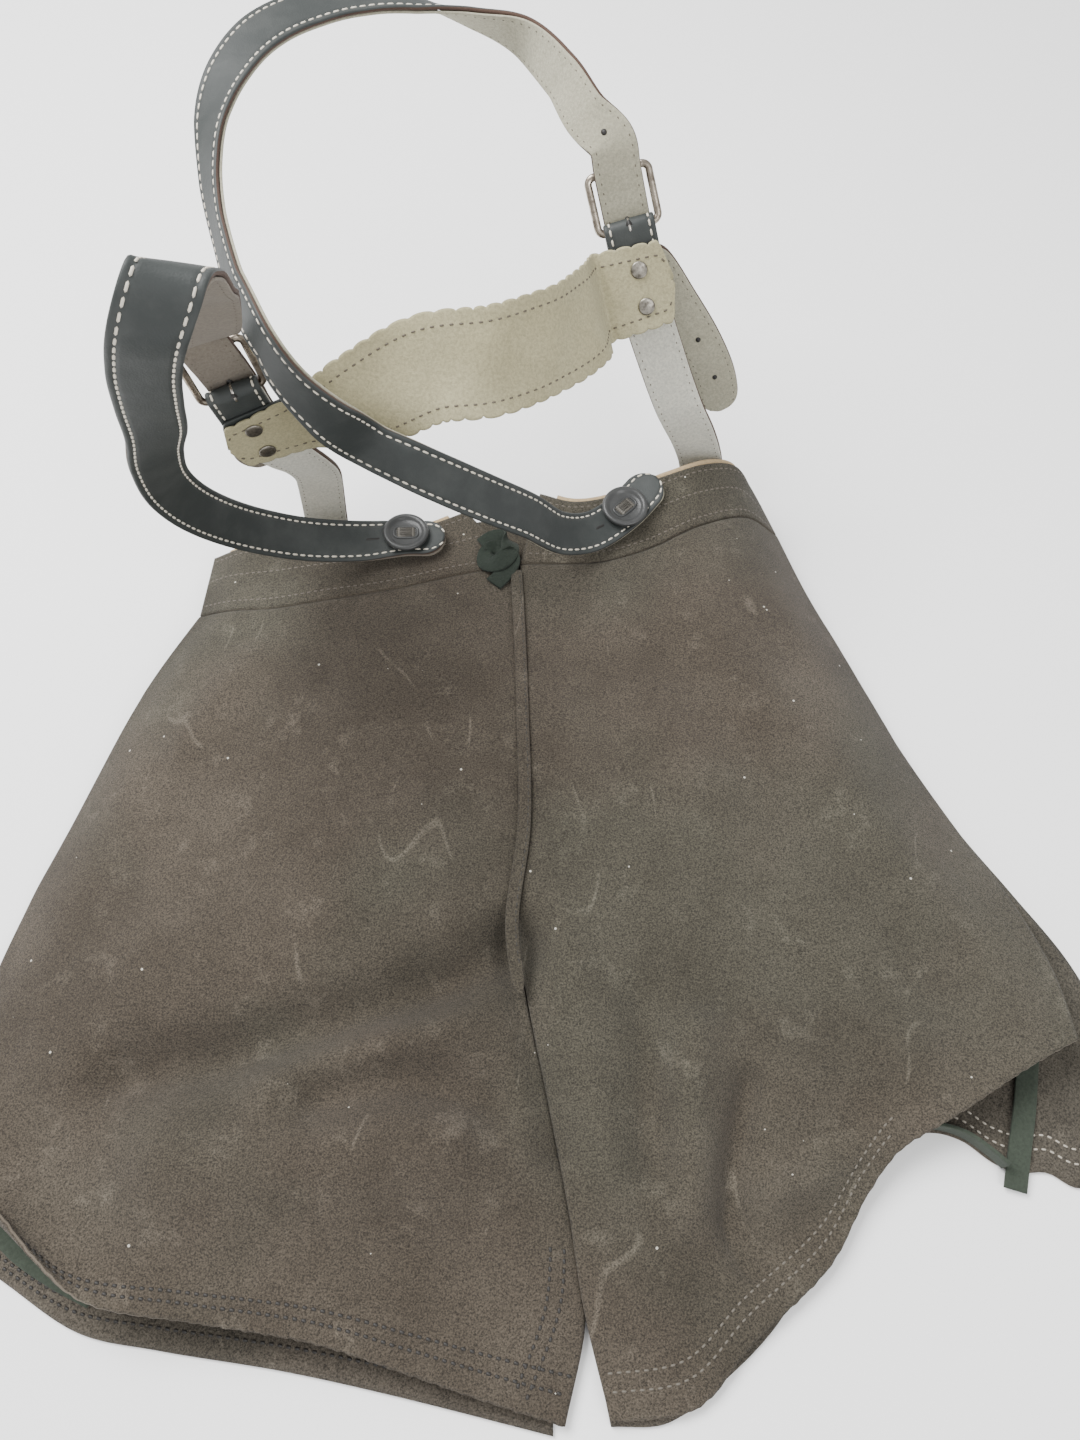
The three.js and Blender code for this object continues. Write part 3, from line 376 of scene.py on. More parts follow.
for lace_node, lace_route in LACES.items():
    lace_frames = strap_frames(lace_route, 1.5)
    half_lace = LACE_THICKNESS / 2
    lace = swept(
        lace_node.replace("hem_lace", "leg_tie"),
        lace_frames,
        band_profile(LACE_WIDTH, -half_lace, half_lace, 0.3, 5),
        [LACE_GREEN],
    )
    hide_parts(lace_node)
    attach(lace, "garment")

# ---- Body panels ----
# Four panels of napped leather: two back ones above, two front ones below, sewn at the sides, the inseams
# and the centre. They lie in soft folds, and the hems are turned up and sewn down with two rows.
SEAT_GAP = 0.3
PANEL = 1.8
FRONT_LIFT = 9.5
HALF_SEAM = 0.45


def lift(y):
    """Height of the front layer: on the table up to y = 200, then an S-curve up to the front buttons."""
    t = np.clip((np.asarray(y, float) - 200) / 135, 0, 1)
    return FRONT_LIFT * t * t * (3 - 2 * t)


def seat(y):
    """Height of the back layer's upper face where it rests on the front layer."""
    return lift(y) + 2 * PANEL + SEAT_GAP


def on_seat(rows):
    """Points of a back panel's edge, given by their rise over where it rests on the front layer."""
    return [[x, y, float(seat(y)) + rise] for x, y, rise in rows]


def on_table(rows):
    """Points of a front panel's edge, on the front layer's upper face."""
    return [[x, y, float(lift(y)) + PANEL] for x, y in rows]


SIDE_LEFT = on_seat([
    [-184, 342, 0], [-208, 290, 0], [-229, 228, 0], [-243, 180, 0],
    [-251, 130, 3], [-249, 88, 9], [-232, 60, 20], [-209, 45, 27],
])
SIDE_RIGHT = on_seat([
    [134, 398, 0], [146, 357, 0], [163, 312, 0], [181, 268, 0],
    [203, 222, 2], [221, 180, 8], [229, 145, 15], [229, 114, 22],
])
CENTRE_SEAM = [
    [-11, 356, 41], [-8, 310, 43], [-6, 260, 44], [-5, 205, 42],
    [-10, 160, 38], [-6, 130, 33], [3, 88, 25], [11, 48, 16], [17, 12, 9],
]
LEFT_FOOT = [8, -26, 5]
RIGHT_FOOT = [27, -25, 5]
LEFT_INNER = [[x - HALF_SEAM, y, z] for x, y, z in CENTRE_SEAM] + [LEFT_FOOT]
RIGHT_INNER = [[x + HALF_SEAM, y, z] for x, y, z in CENTRE_SEAM] + [RIGHT_FOOT]
LEFT_HEM = [
    SIDE_LEFT[-1], [-190, 28, 31], [-172, 15, 26], [-130, 8, 21],
    [-85, 1, 18], [-50, -9, 13], [-20, -18, 9], LEFT_FOOT,
]
RIGHT_HEM = [
    RIGHT_FOOT, [60, -20, 5], [83, 1, 6], [117, 29, 8], [134, 54, 11],
    [148, 70, 17], [172, 83, 22], [205, 102, 26], SIDE_RIGHT[-1],
]
LEFT_SEAM = [
    SIDE_LEFT[0], [-163, 337, 26], [-139, 335, 31], [-109, 338, 35],
    [-73, 343, 38], [-42, 350, 40], LEFT_INNER[0],
]
RIGHT_SEAM = [RIGHT_INNER[0], [32, 357, 42], [58, 365, 43], [84, 378, 45], [112, 392, 36], SIDE_RIGHT[0]]
FRONT_SIDE_LEFT = on_table([
    [-184, 342], [-208, 290], [-229, 228], [-243, 180], [-251, 130], [-251, 88], [-240, 55], [-218, 24],
])
FRONT_SIDE_RIGHT = on_table([
    [134, 398], [146, 357], [163, 312], [181, 268], [204, 224], [226, 188], [246, 152], [256, 112], [250, 68],
])
FRONT_LEFT_HEM = on_table([[-218, 24], [-182, 5], [-149, -1], [-99, -8], [-56, -16], [5, -29]])
FRONT_RIGHT_HEM = on_table([
    [27, -26], [48, -25], [67, -14], [92, 6], [116, 36], [144, 72], [166, 80], [180, 77], [192, 68],
    [202, 64], [214, 64], [226, 58], [250, 68],
])
FRONT_LEFT_SEAM = on_table([[-184, 342], [-90, 345], [-10 - HALF_SEAM, 352]])
FRONT_RIGHT_SEAM = on_table([[-10 + HALF_SEAM, 352], [70, 372], [134, 398]])


def front_centre(side):
    """Inner edge of one front panel, which parts from the other below the crotch."""
    gap = side * HALF_SEAM
    foot = [5, -29] if side < 0 else [27, -26]
    return on_table([[-10 + gap, 352], [-6 + gap, 250], [-7 + gap, 130], [gap, 95], [8 + 4 * gap, 55], foot])


def edge_curve(stations):
    """Function from a share of the edge's length to the point there, straight on past its ends."""
    path, length, _ = smooth_curve(stations)
    ends = unit(np.stack([path[1] - path[0], path[-1] - path[-2]]))

    def at(t):
        t = np.asarray(t, float)
        inside = np.clip(t, 0, 1)
        past = (t - inside)[..., None] * length[-1]
        return at_length(path, length, inside * length[-1]) + past * np.where(past < 0, ends[0], ends[1])

    return at


def coons(top, bottom, left, right):
    """Surface between four edges: the ruling from top to bottom plus the ruling from left to right, less
    the ruling of the four corners."""
    t, b, l, r = (edge_curve(edge) for edge in (top, bottom, left, right))
    corner = [np.array(p, float) for p in (top[0], top[-1], bottom[0], bottom[-1])]

    def at(u, v):
        w, h = np.asarray(u, float)[..., None], np.asarray(v, float)[..., None]
        rulings = t(u) * (1 - h) + b(u) * h + l(v) * (1 - w) + r(v) * w
        corners = corner[0] * (1 - w) * (1 - h) + corner[1] * w * (1 - h)
        corners = corners + corner[2] * (1 - w) * h + corner[3] * w * h
        return rulings - corners

    return at


# Folds of the back: the line of a ridge or hollow, its half width and its height.
FOLDS = [
    [[(-12, 152), (-39, 138), (-88, 122), (-139, 106), (-178, 100)], 13, -12.5],
    [[(-34, 118), (-72, 110), (-112, 96)], 12, 5.5],
    [[(-92, 90), (-58, 98), (-22, 88)], 11, -8.0],
    [[(-150, 62), (-96, 62), (-44, 66)], 24, 13.0],
    [[(-40, 168), (-60, 205)], 20, 3.5],
    [[(-170, 150), (-110, 158)], 26, 4.0],
    [[(-232, 110), (-210, 70)], 16, -3.0],
    [[(-13, 156), (-4, 112), (6, 70)], 8, -6.0],
    [[(14, 150), (22, 100), (30, 50)], 9, 3.0],
    [[(44, 130), (46, 96), (48, 66)], 9, -5.0],
    [[(66, 116), (62, 88), (62, 50)], 12, 8.0],
    [[(88, 96), (80, 66), (78, 46), (85, 30)], 7, -9.0],
    [[(98, 100), (150, 112)], 24, 6.0],
    [[(168, 84), (143, 74), (115, 60), (96, 54)], 7, 7.0],
    [[(128, 50), (108, 38), (92, 28)], 7, -6.0],
    [[(-150, 300), (-175, 250)], 12, 2.5],
    [[(-95, 260), (-70, 190)], 22, 2.4],
    [[(60, 250), (85, 200)], 22, 2.4],
    [[(40, 290), (120, 300)], 20, -1.8],
    [[(150, 230), (180, 180)], 18, 3.0],
    [[(185, 150), (150, 130)], 14, -3.0],
]


def folds(x, y):
    """Sum over the folds of height x exp(-(distance to the fold's line / half width)^2), plus long slow
    waves of sines of x and y."""
    total = 0.9 * np.sin(x / 23 + 1.3 * np.sin(y / 41)) * np.sin(y / 31 + 0.8) + 0.35 * np.sin(x / 9 + y / 13)
    for line, half_width, height in FOLDS:
        nearest = np.full(np.shape(x), np.inf)
        for (x0, y0), (x1, y1) in zip(line, line[1:]):
            span = (x1 - x0) ** 2 + (y1 - y0) ** 2
            along = np.clip(((x - x0) * (x1 - x0) + (y - y0) * (y1 - y0)) / span, 0, 1)
            away = (x - x0 - along * (x1 - x0)) ** 2 + (y - y0 - along * (y1 - y0)) ** 2
            nearest = np.minimum(nearest, away)
        total = total + height * np.exp(-nearest / half_width**2)
    return total


SWELL = 14
SLIP_ASIDE = 1.6
SLIP_UNDER = 2.9
CROTCH_SHARE = 0.56
HEM_RAGGED = 0.16


def back_panel(top, bottom, left, right, side):
    """A back panel: the surface between its edges, raised by a swell that is full at the centre seam and
    falls to the side, with the folds faded out at every edge. A negative side swells towards its left."""
    flat = coons(top, bottom, left, right)

    def at(u, v):
        point = flat(u, v)
        from_side = np.clip(u if side > 0 else 1 - u, 0, 1)
        inside = np.clip(v, 0, 1)
        swell = SWELL * (1 - (1 - from_side) ** 6) * (1 - from_side) * np.sin(math.pi * inside)
        near_edge = np.minimum(1, 9 * from_side) * np.minimum(1, 14 * inside) * np.minimum(1, 9 * (1 - inside))
        point[..., 2] += swell + np.maximum(near_edge, 0) * folds(point[..., 0], point[..., 1])
        # A hollow goes down no further than to where the leather rests on the front layer.
        point[..., 2] = np.maximum(point[..., 2], seat(point[..., 1]))
        # The raw hem is a little ragged, and below the crotch the left leg's edge slips under the right's.
        ragged = np.sin(point[..., 0] / 1.1) + np.sin(point[..., 0] / 0.63 + 1)
        point[..., 1] += HEM_RAGGED * inside**60 * ragged
        if side > 0:
            below = np.clip((inside - CROTCH_SHARE) / 0.12, 0, 1) * from_side**14
            point[..., 0] += SLIP_ASIDE * below
            point[..., 2] -= SLIP_UNDER * below * np.clip((1 - inside) / 0.08, 0, 1)
        return point

    return at


def front_panel(top, bottom, left, right):
    """A front panel: the surface between its edges, laid on the table."""
    flat = coons(top, bottom, left, right)

    def at(u, v):
        point = flat(u, v)
        point[..., 2] = lift(point[..., 1]) + PANEL
        return point

    return at


def surface_normal(surface, u, v, step=1e-3):
    """Upward normal: the slope down the sheet crossed with the slope across it."""
    across = surface(u + step, v) - surface(u - step, v)
    down = surface(u, v + step) - surface(u, v - step)
    return unit(np.cross(down, across))


def sheet_faces(rows, columns, flipped=False):
    """Faces of a sheet made of two grids of points, one skin after the other: the outer skin, the inner skin
    turned the other way, and the rim that joins their edges. Flipped turns them all round."""
    r, c = np.meshgrid(np.arange(rows - 1), np.arange(columns - 1), indexing="ij")
    a = (r * columns + c).ravel()
    outer = np.stack([a, a + columns, a + columns + 1, a + 1], -1)
    ring = np.concatenate([
        np.arange(columns - 1),
        columns * np.arange(1, rows) - 1,
        rows * columns - 1 - np.arange(columns - 1),
        columns * np.arange(rows - 1, 0, -1),
    ])
    after = np.roll(ring, -1)
    if flipped:
        outer = outer[:, [0, 3, 2, 1]]
        ring, after = after, ring
    inner = outer[:, ::-1] + rows * columns
    rim = np.stack([ring, after, after + rows * columns, ring + rows * columns], -1)
    return outer, inner, rim


EASE = 0.28


def sheet_piece(name, surface, columns, rows, near, far, materials):
    """A leather sheet: outer skin at depth near, inner skin at depth far, both eased towards each other along
    the edge by a share of the thickness, and a rim in the second material."""
    u, v = np.meshgrid(np.linspace(0, 1, columns), np.linspace(0, 1, rows))
    place, normal = surface(u, v), surface_normal(surface, u, v)
    edge = np.zeros((rows, columns))
    edge[0], edge[-1], edge[:, 0], edge[:, -1] = 1, 1, 1, 1
    ease = EASE * (far - near) * edge[..., None]
    skins = [place - normal * (near + ease), place - normal * (far - ease)]
    points = np.concatenate([skin.reshape(-1, 3) for skin in skins])
    outer, inner, rim = sheet_faces(rows, columns)
    slots = np.concatenate([np.zeros(len(outer) + len(inner)), np.ones(len(rim))])
    return new_piece(name, points, np.vstack([outer, inner, rim]), materials, slots=slots)


def thread_material(name, colour):
    """Waxed thread: one colour, slightly glossy."""
    return new_finish(name, Base_Color=colour, Roughness=0.6)[0]


def stitch_row(name, middle, along, out, length, radius, material, sunk):
    """One closed six-sided stitch at each place: full over its middle half, pointed at both ends, lying
    along the row and sunk a little into the leather."""
    angle = np.arange(6) * math.pi / 3
    ring = np.stack([np.cos(angle), np.sin(angle)], -1)
    template = np.vstack([
        [[-0.5, 0, 0]],
        np.column_stack([np.full(6, -0.3), ring]),
        np.column_stack([np.full(6, 0.3), ring]),
        [[0.5, 0, 0]],
    ])
    side = np.cross(out, along)
    base = middle - out * radius * sunk
    points = (
        base[:, None, :]
        + along[:, None, :] * (template[:, 0] * length)[None, :, None]
        + side[:, None, :] * (template[:, 1] * radius)[None, :, None]
        + out[:, None, :] * (template[:, 2] * radius * 0.8)[None, :, None]
    )
    k = np.arange(6)
    nxt = (k + 1) % 6
    quads = np.stack([1 + k, 1 + nxt, 7 + nxt, 7 + k], -1)
    first, last = np.stack([np.zeros(6), 1 + nxt, 1 + k], -1), np.stack([np.full(6, 13), 7 + k, 7 + nxt], -1)
    tris = np.vstack([first, last])
    start = 14 * np.arange(len(middle))[:, None, None]
    quads, tris = (quads + start).reshape(-1, 4), (tris + start).reshape(-1, 3)
    return new_piece(name, points.reshape(-1, 3), quads, [material], tris)


def sewn_line(surface, u, v, pitch, rise):
    """Places of stitches a pitch apart along the line of (u, v) values on a surface, raised above it, with
    the line's direction and the surface's normal there."""
    path = surface(u, v)
    length = running_length(path)
    where = np.arange(pitch / 2, length[-1], pitch)
    place = at_length(path, length, where)
    normal = unit(at_length(surface_normal(surface, u, v), length, where))
    ahead = at_length(path, length, where + 0.5) - at_length(path, length, where - 0.5)
    ahead = unit(ahead - (ahead * normal).sum(1, keepdims=True) * normal)
    return place + normal * rise, ahead, normal


SUEDE = napped(
    "body suede", (0.046, 0.0385, 0.0295), (0.105, 0.092, 0.074), grain=1350, strength=0.9, scuffs=1.0, contrast=1.0
)
SUEDE_FRONT = napped(
    "front suede", (0.050, 0.043, 0.034), (0.12, 0.105, 0.085), grain=1350, strength=0.9, scuffs=0.6, contrast=1.0
)
SUEDE_EDGE = napped("cut edge of body leather", (0.090, 0.074, 0.057), (0.17, 0.145, 0.115), grain=1500)
DARK_THREAD = thread_material("dark thread", (0.014, 0.012, 0.010))
WORN_THREAD = thread_material("worn thread", (0.10, 0.088, 0.07))
PALE_THREAD = thread_material("pale thread", (0.34, 0.31, 0.26))
BAND_THREAD = thread_material("suede-coloured thread", (0.095, 0.08, 0.064))
BODY_SURFACES = {
    "back_panel_left": back_panel(LEFT_SEAM, LEFT_HEM, SIDE_LEFT, LEFT_INNER, 1),
    "back_panel_right": back_panel(RIGHT_SEAM, RIGHT_HEM, RIGHT_INNER, SIDE_RIGHT, -1),
    "front_panel_left": front_panel(FRONT_LEFT_SEAM, FRONT_LEFT_HEM, FRONT_SIDE_LEFT, front_centre(-1)),
    "front_panel_right": front_panel(FRONT_RIGHT_SEAM, FRONT_RIGHT_HEM, front_centre(1), FRONT_SIDE_RIGHT),
}


def surface_area(surface, count=60):
    """Area of a surface in square metres: the sum of |cross product| of its steps."""
    u, v = np.meshgrid(np.linspace(0, 1, count), np.linspace(0, 1, count))
    p = surface(u, v)
    across, down = p[:-1, 1:] - p[:-1, :-1], p[1:, :-1] - p[:-1, :-1]
    return float(np.linalg.norm(np.cross(across, down), axis=-1).sum()) * MM * MM


def sew(name, rows, material, body="garment", length=2.6, radius=0.42, sunk=0.35):
    """One mesh of stitches for several sewn lines, riding on a body."""
    middle, along, out = (np.vstack(part) for part in zip(*rows))
    piece = stitch_row(name, middle, along, out, length, radius, material, sunk)
    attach(piece, body)
    return piece


HEM_ROWS = (9.5, 15.5)
PANEL_LENGTH = 360.0
STITCH_PITCH = 3.5
INSEAM_ROWS = (0.965, 0.985)
STITCHED_TO = {"back_panel_right": 0.63}
STITCH_RADIUS = {"back_panel_left": 0.75, "front_panel_left": 0.75}
HEM_THREADS = {"back_panel_right": WORN_THREAD, "front_panel_right": PALE_THREAD}
for panel_node, surface in BODY_SURFACES.items():
    u_line = np.linspace(0.01, STITCHED_TO.get(panel_node, 0.99), 260)
    rows = []
    for offset in HEM_ROWS:
        v_line = np.full(260, 1 - offset / PANEL_LENGTH)
        rows.append(sewn_line(surface, u_line, v_line, STITCH_PITCH, 0.0))
    if panel_node == "back_panel_left":
        # Two more rows run down beside the inseam, closing on each other towards the crotch.
        v_line = np.linspace(0.84, 0.985, 90)
        for reach in INSEAM_ROWS:
            u_line = np.linspace(reach - 0.004, reach - 0.05, 90)
            rows.append(sewn_line(surface, u_line, v_line, STITCH_PITCH, 0.0))
    sew(
        panel_node + "_hem_stitches", rows, HEM_THREADS.get(panel_node, DARK_THREAD),
        length=2.3, radius=STITCH_RADIUS.get(panel_node, 0.5), sunk=0.2,
    )
for panel_node, surface in BODY_SURFACES.items():
    back = panel_node.startswith("back")
    columns, rows = (190, 240) if back else (110, 130)
    panel = sheet_piece(
        panel_node.replace("panel", "leather"),
        surface,
        columns,
        rows,
        0,
        PANEL,
        [SUEDE if back else SUEDE_FRONT, SUEDE_EDGE],
    )
    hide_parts(panel_node)
    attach(panel, "garment")
    round(surface_area(surface), 4)

# ---- Waistbands ----
# A band of the same suede at the top of each panel, sewn along its lower seam with two rows. The back
# bands part in a notch at the centre. Inside each lies a cream suede facing that stands past the top edge.
BAND = 2.0
BAND_HEIGHT = 43
FACING = 1.2
FACING_RIM = 4
LEFT_RIM = [
    [-182, 382, SIDE_LEFT[0][2]], [-163, 381, 24], [-130, 380, 31],
    [-95, 381, 35], [-62, 385, 38], [-40, 392, 41],
]
RIGHT_RIM = [
    [0, 403, 43], [18, 396, 45], [42, 397, 49], [66, 405, 54],
    [88, 412, 56], [108, 420, 46], [119, 421, 28], [128, 417, SIDE_RIGHT[0][2]],
]
FRONT_LEFT_RIM = on_table([[-182, 382], [-90, 387], [-12, 394]])
FRONT_RIGHT_RIM = on_table([[-10, 394], [60, 408], [128, 418]])


def band_surface(rim, seam, ripple=0.0):
    """A waistband between its rim and its seam, just clear of the panel, with a slight ripple of sines."""
    low = [[x, y + SEAT_GAP + 0.2, z] for x, y, z in seam]
    flat = coons(rim, low, [rim[0], low[0]], [rim[-1], low[-1]])

    def at(u, v):
        point = flat(u, v)
        inside = np.clip(np.minimum(np.minimum(6 * u, 6 * (1 - u)), 6 * (1 - v)), 0, 1)
        point[..., 2] += ripple * inside * np.sin(point[..., 0] / 11) * np.cos(point[..., 1] / 14)
        return point

    return at


BANDS = {
    "back_waistband_left": band_surface(LEFT_RIM, LEFT_SEAM, 0.5),
    "back_waistband_right": band_surface(RIGHT_RIM, RIGHT_SEAM, 0.5),
    "front_waistband_left": band_surface(FRONT_LEFT_RIM, FRONT_LEFT_SEAM),
    "front_waistband_right": band_surface(FRONT_RIGHT_RIM, FRONT_RIGHT_SEAM),
}
for band_node, surface in BANDS.items():
    back = band_node.startswith("back")
    band = sheet_piece(
        band_node.replace("waistband", "band"), surface, 120 if back else 60, 34 if back else 16, 0, BAND,
        [SUEDE, SUEDE_EDGE],
    )
    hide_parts(band_node)
    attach(band, "garment")
    if back:
        u_line = np.linspace(0.015, 0.985, 200)
        rows = [sewn_line(surface, u_line, np.full(200, v), STITCH_PITCH, 0.0) for v in (0.1, 0.44, 0.86)]
        sew(band_node + "_stitches", rows, BAND_THREAD, length=2.4, radius=0.45)

CREAM_SUEDE = napped("cream facing suede", (0.36, 0.265, 0.15), (0.46, 0.37, 0.24), grain=700, strength=0.35)
FACING_TRIM = 0.06
FACING_FOOT = 0.7
FACING_DEPTH = BAND + SEAT_GAP + 0.3


def facing_surface(band):
    """The part of a waistband's surface that its facing follows: past the rim, short of both ends."""
    top = -FACING_RIM / BAND_HEIGHT

    def at(u, v):
        return band(FACING_TRIM + u * (1 - 2 * FACING_TRIM), top + v * (FACING_FOOT - top))

    return at


for side in ("left", "right"):
    facing = sheet_piece(
        "facing_" + side, facing_surface(BANDS["back_waistband_" + side]), 90, 30,
        FACING_DEPTH, FACING_DEPTH + FACING, [CREAM_SUEDE, CREAM_SUEDE],
    )
    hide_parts("waist_facing_" + side)
    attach(facing, "garment")

# A gusset of the same suede closes the notch from behind.
GUSSET_THICKNESS = 1.2
gusset_surface = coons(
    [[-50, 386, 35], [-22, 391, 36.5], [10, 399, 37.5]], [[-30, 346, 35.5], [-12, 350, 36], [4, 350, 36]],
    [[-50, 386, 35], [-30, 346, 35.5]], [[10, 399, 37.5], [4, 350, 36]],
)
gusset = sheet_piece("notch_gusset", gusset_surface, 30, 24, 0, GUSSET_THICKNESS, [SUEDE, SUEDE_EDGE])
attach(gusset, "garment")

# ---- Centre-back strip and drop-front flap ----
# A narrow strip of suede covers the centre-back seam, with a row of stitches down one side. The flap of
# the drop front lies under the front panels, out of sight.
LAP = 1.6
LAP_WIDTH = 6
LAP_TAPER = 14
strip_route = [[[-12.3, 350, 41.3], [-1, 0, 0]]]
strip_route += [[[x - 2.2, y, z], [-1, 0, 0]] for x, y, z in CENTRE_SEAM[1:6]]
strip_frames = strap_frames(strip_route, 1.5)
strip_lift = SEAT_GAP + 0.2
seam_strip = swept(
    "seam_strip", strip_frames, band_profile(LAP_WIDTH, strip_lift, strip_lift + LAP, 0.7, 7), [SUEDE],
    rounded_reach(strip_frames["length"], 0, LAP_TAPER),
)
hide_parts("centre_back_strip")
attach(seam_strip, "garment")


def strap_row(frames, offset, height, pitch, start=4.0, end=4.0):
    """Places of stitches along a strap, offset across it and raised outwards (or inwards, below zero)."""
    line = frames["middle"] + frames["wide"] * np.asarray(offset)[..., None] + frames["out"] * height
    length = running_length(line)
    where = np.arange(start, length[-1] - end, pitch)
    place = at_length(line, length, where)
    ahead = unit(at_length(line, length, where + 0.5) - at_length(line, length, where - 0.5))
    normal = unit(at_length(frames["out"], length, where)) * (1 if height > 0 else -1)
    return place, ahead, normal


sew(
    "seam_strip_stitches",
    [strap_row(strip_frames, -1.6, strip_lift + LAP, STITCH_PITCH, 4, LAP_TAPER)],
    DARK_THREAD, length=2.4, radius=0.3,
)

# ---- Straps ----
# Two leather straps buttoned to the back waistband go up over the shoulders to the buckles. Each is smooth
# dark leather sewn with cream thread to a suede lining; edges are raw and brown. The ends are rounded.
STRAP_WIDTH = 22
FRONT_STRAP_WIDTH = 24
STRAP_FACE = 2.0
STRAP_LINING = 1.2
LINING_INSET = 0.4
FACE_NEAR = 0.15
FACE_FAR = FACE_NEAR + STRAP_FACE
LINING_FAR = -(FACE_NEAR + STRAP_LINING)
TIP_ROUNDING = 11
ROW_INSET = 2.7
STRAP_PITCH = 4.4
BUCKLE_WIRE = 2.6
BUCKLE_LENGTH = 25
BUCKLE_LIFT = 5.6
BUCKLE_SIDE_CLEARANCE = 1.1
PRONG_WIRE = 2.0
WRAP = BUCKLE_WIRE / 2 + 0.4
FOLD_OUT = WRAP + FACE_FAR
RIVET_ROW = 26.5
RIVET_SPACING = 17
OVERHANG = 14
CROSSBAND_NEAR = 0.4
CROSSBAND_FACE = 1.6
CROSSBAND_LINING = 1.2
CROSSBAND_OUT = -(FOLD_OUT + SEAT_GAP + CROSSBAND_FACE + CROSSBAND_NEAR)
STRAIGHT = RIVET_ROW + RIVET_SPACING / 2 + 4
BACK_STRAPS = {
    "left": [
        [[-50, 370, 44], [0, 0.98, 0]], [[-71, 371, 43], [0, 0.98, 0]], [[-95, 366, 47], [0.05, 0.94, 0.3]],
        [[-119, 356, 61], [0.15, 0.88, 0.42]], [[-140, 342, 86], [0.35, 0.84, 0.42]],
        [[-152, 324, 120], [0.5, 0.78, 0.36]], [[-154, 309, 152], [0.66, 0.7, 0.24]],
        [[-147, 295, 184], [0.84, 0.54, 0]], [[-136, 281, 212], [0.92, 0.4, -0.12]],
        [[-127, 266, 240], [0.94, 0.3, -0.2]], [[-118, 253, 266], [0.95, 0.22, -0.24]],
        [[-109, 246, 286], [0.95, 0.16, -0.28]], [[-102, 253, 297], [0.95, 0.1, -0.28]],
        [[-102, 266, 289], [0.95, 0.1, -0.22]], [[-106, 284, 268], [0.95, 0.15, -0.12]],
        [[-112, 305, 247], [0.94, 0.24, 0]], [[-126, 336, 206], [0.92, 0.32, 0.06]],
    ],
    "right": [
        [[62, 402, 55.6], [-0.5, 0.85, 0.1]], [[45, 384, 49.8], [-0.5, 0.86, 0.14]],
        [[28, 370, 50.5], [-0.15, 0.96, 0.2]], [[11, 359, 62], [0.15, 0.93, 0.3]],
        [[-6, 351, 85], [0.3, 0.85, 0.42]], [[-23, 345, 103], [0.38, 0.73, 0.57]],
        [[-40, 341, 119], [0.42, 0.6, 0.68]], [[-57, 340, 132], [0.46, 0.45, 0.75]],
        [[-75, 342, 143], [0.52, 0.25, 0.8]], [[-87.5, 332, 169], [0.56, 0, 0.82]],
        [[-99, 334, 185], [0.53, -0.22, 0.8]], [[-107.5, 341, 199], [0.48, -0.42, 0.76]],
        [[-121, 368, 201], [0.43, -0.58, 0.69]], [[-132, 400, 204.5], [0.42, -0.7, 0.58]],
        [[-138, 428, 213], [0.5, -0.74, 0.42]], [[-138, 451, 223], [0.6, -0.76, 0.22]],
        [[-133, 475, 229], [0.64, -0.77, 0]], [[-122, 498, 232], [0.68, -0.72, -0.14]],
        [[-105, 518, 231], [0.68, -0.72, -0.18]], [[-83, 533, 228], [0.6, -0.8, -0.1]],
        [[-58, 541, 222], [0.5, -0.85, 0.15]], [[-33, 541, 216], [0.45, -0.7, 0.5]],
        [[-10, 533, 212], [0.42, -0.5, 0.74]], [[9, 507, 209], [0.55, -0.35, 0.75]],
        [[21, 483, 204], [0.75, -0.15, 0.6]],
    ],
}
TAILS = {
    "left": [
        [[-134, 373, 129], [0.95, 0.25, 0.1]], [[-138, 378, 110], [0.96, 0.2, 0]],
        [[-139, 378, 91], [0.97, 0.15, 0]],
    ],
    "right": [
        [[54, 459, 144], [0.9, 0.15, 0.38]], [[69, 455, 124], [0.86, 0.15, 0.42]],
        [[83, 450, 104], [0.9, 0.12, 0.38]], [[93, 447, 84], [0.95, 0.08, 0.25]],
        [[98, 444, 64], [0.97, 0.05, 0.15]],
    ],
}
FRONT_STRAPS = {
    "left": [
        [[-121, 371, 106], [0.93, 0.2, 0.2]], [[-115.5, 379, 90], [0.96, 0.1, 0.15]],
        [[-115, 391, 70], [0.97, 0.1, 0.1]], [[-117, 398, 53], [0.98, 0.1, 0.05]],
        [[-119, 402, 36], [0.99, 0.05, 0]], [[-120, 402, 20], [0.99, 0, 0]],
        [[-119, 395, 9.8], [0.99, -0.05, 0]], [[-116, 382, 7.4], [0.98, -0.1, 0]],
        [[-111, 364, 7.4], [0.96, -0.2, 0]], [[-107, 347, 7.4], [0.96, -0.2, 0]],
    ],
    "right": [
        [[61, 430, 112], [0.95, 0.12, 0.22]], [[67, 425, 98], [0.95, 0.1, 0.22]],
        [[73, 421, 85], [0.96, 0.05, 0.2]], [[81, 421, 68], [0.97, 0, 0.14]],
        [[87, 425, 50], [0.98, 0, 0.1]], [[91, 431, 32], [0.99, 0, 0.05]],
        [[92, 432, 17], [0.99, 0.05, 0]], [[90, 424, 9], [0.98, 0.15, 0]],
        [[85, 409, 7.4], [0.96, 0.25, 0]], [[78, 390, 7.4], [0.94, 0.32, 0]],
        [[71, 371, 7.4], [0.94, 0.32, 0]],
    ],
}
BUCKLES = {
    "left": [[-132, 357, 158], [-0.12, -0.22, 0.965], [0.9, 0.25, 0.3]],
    "right": [[42, 456, 167], [-0.26, 0.45, 0.855], [0.95, 0.12, 0.2]],
}


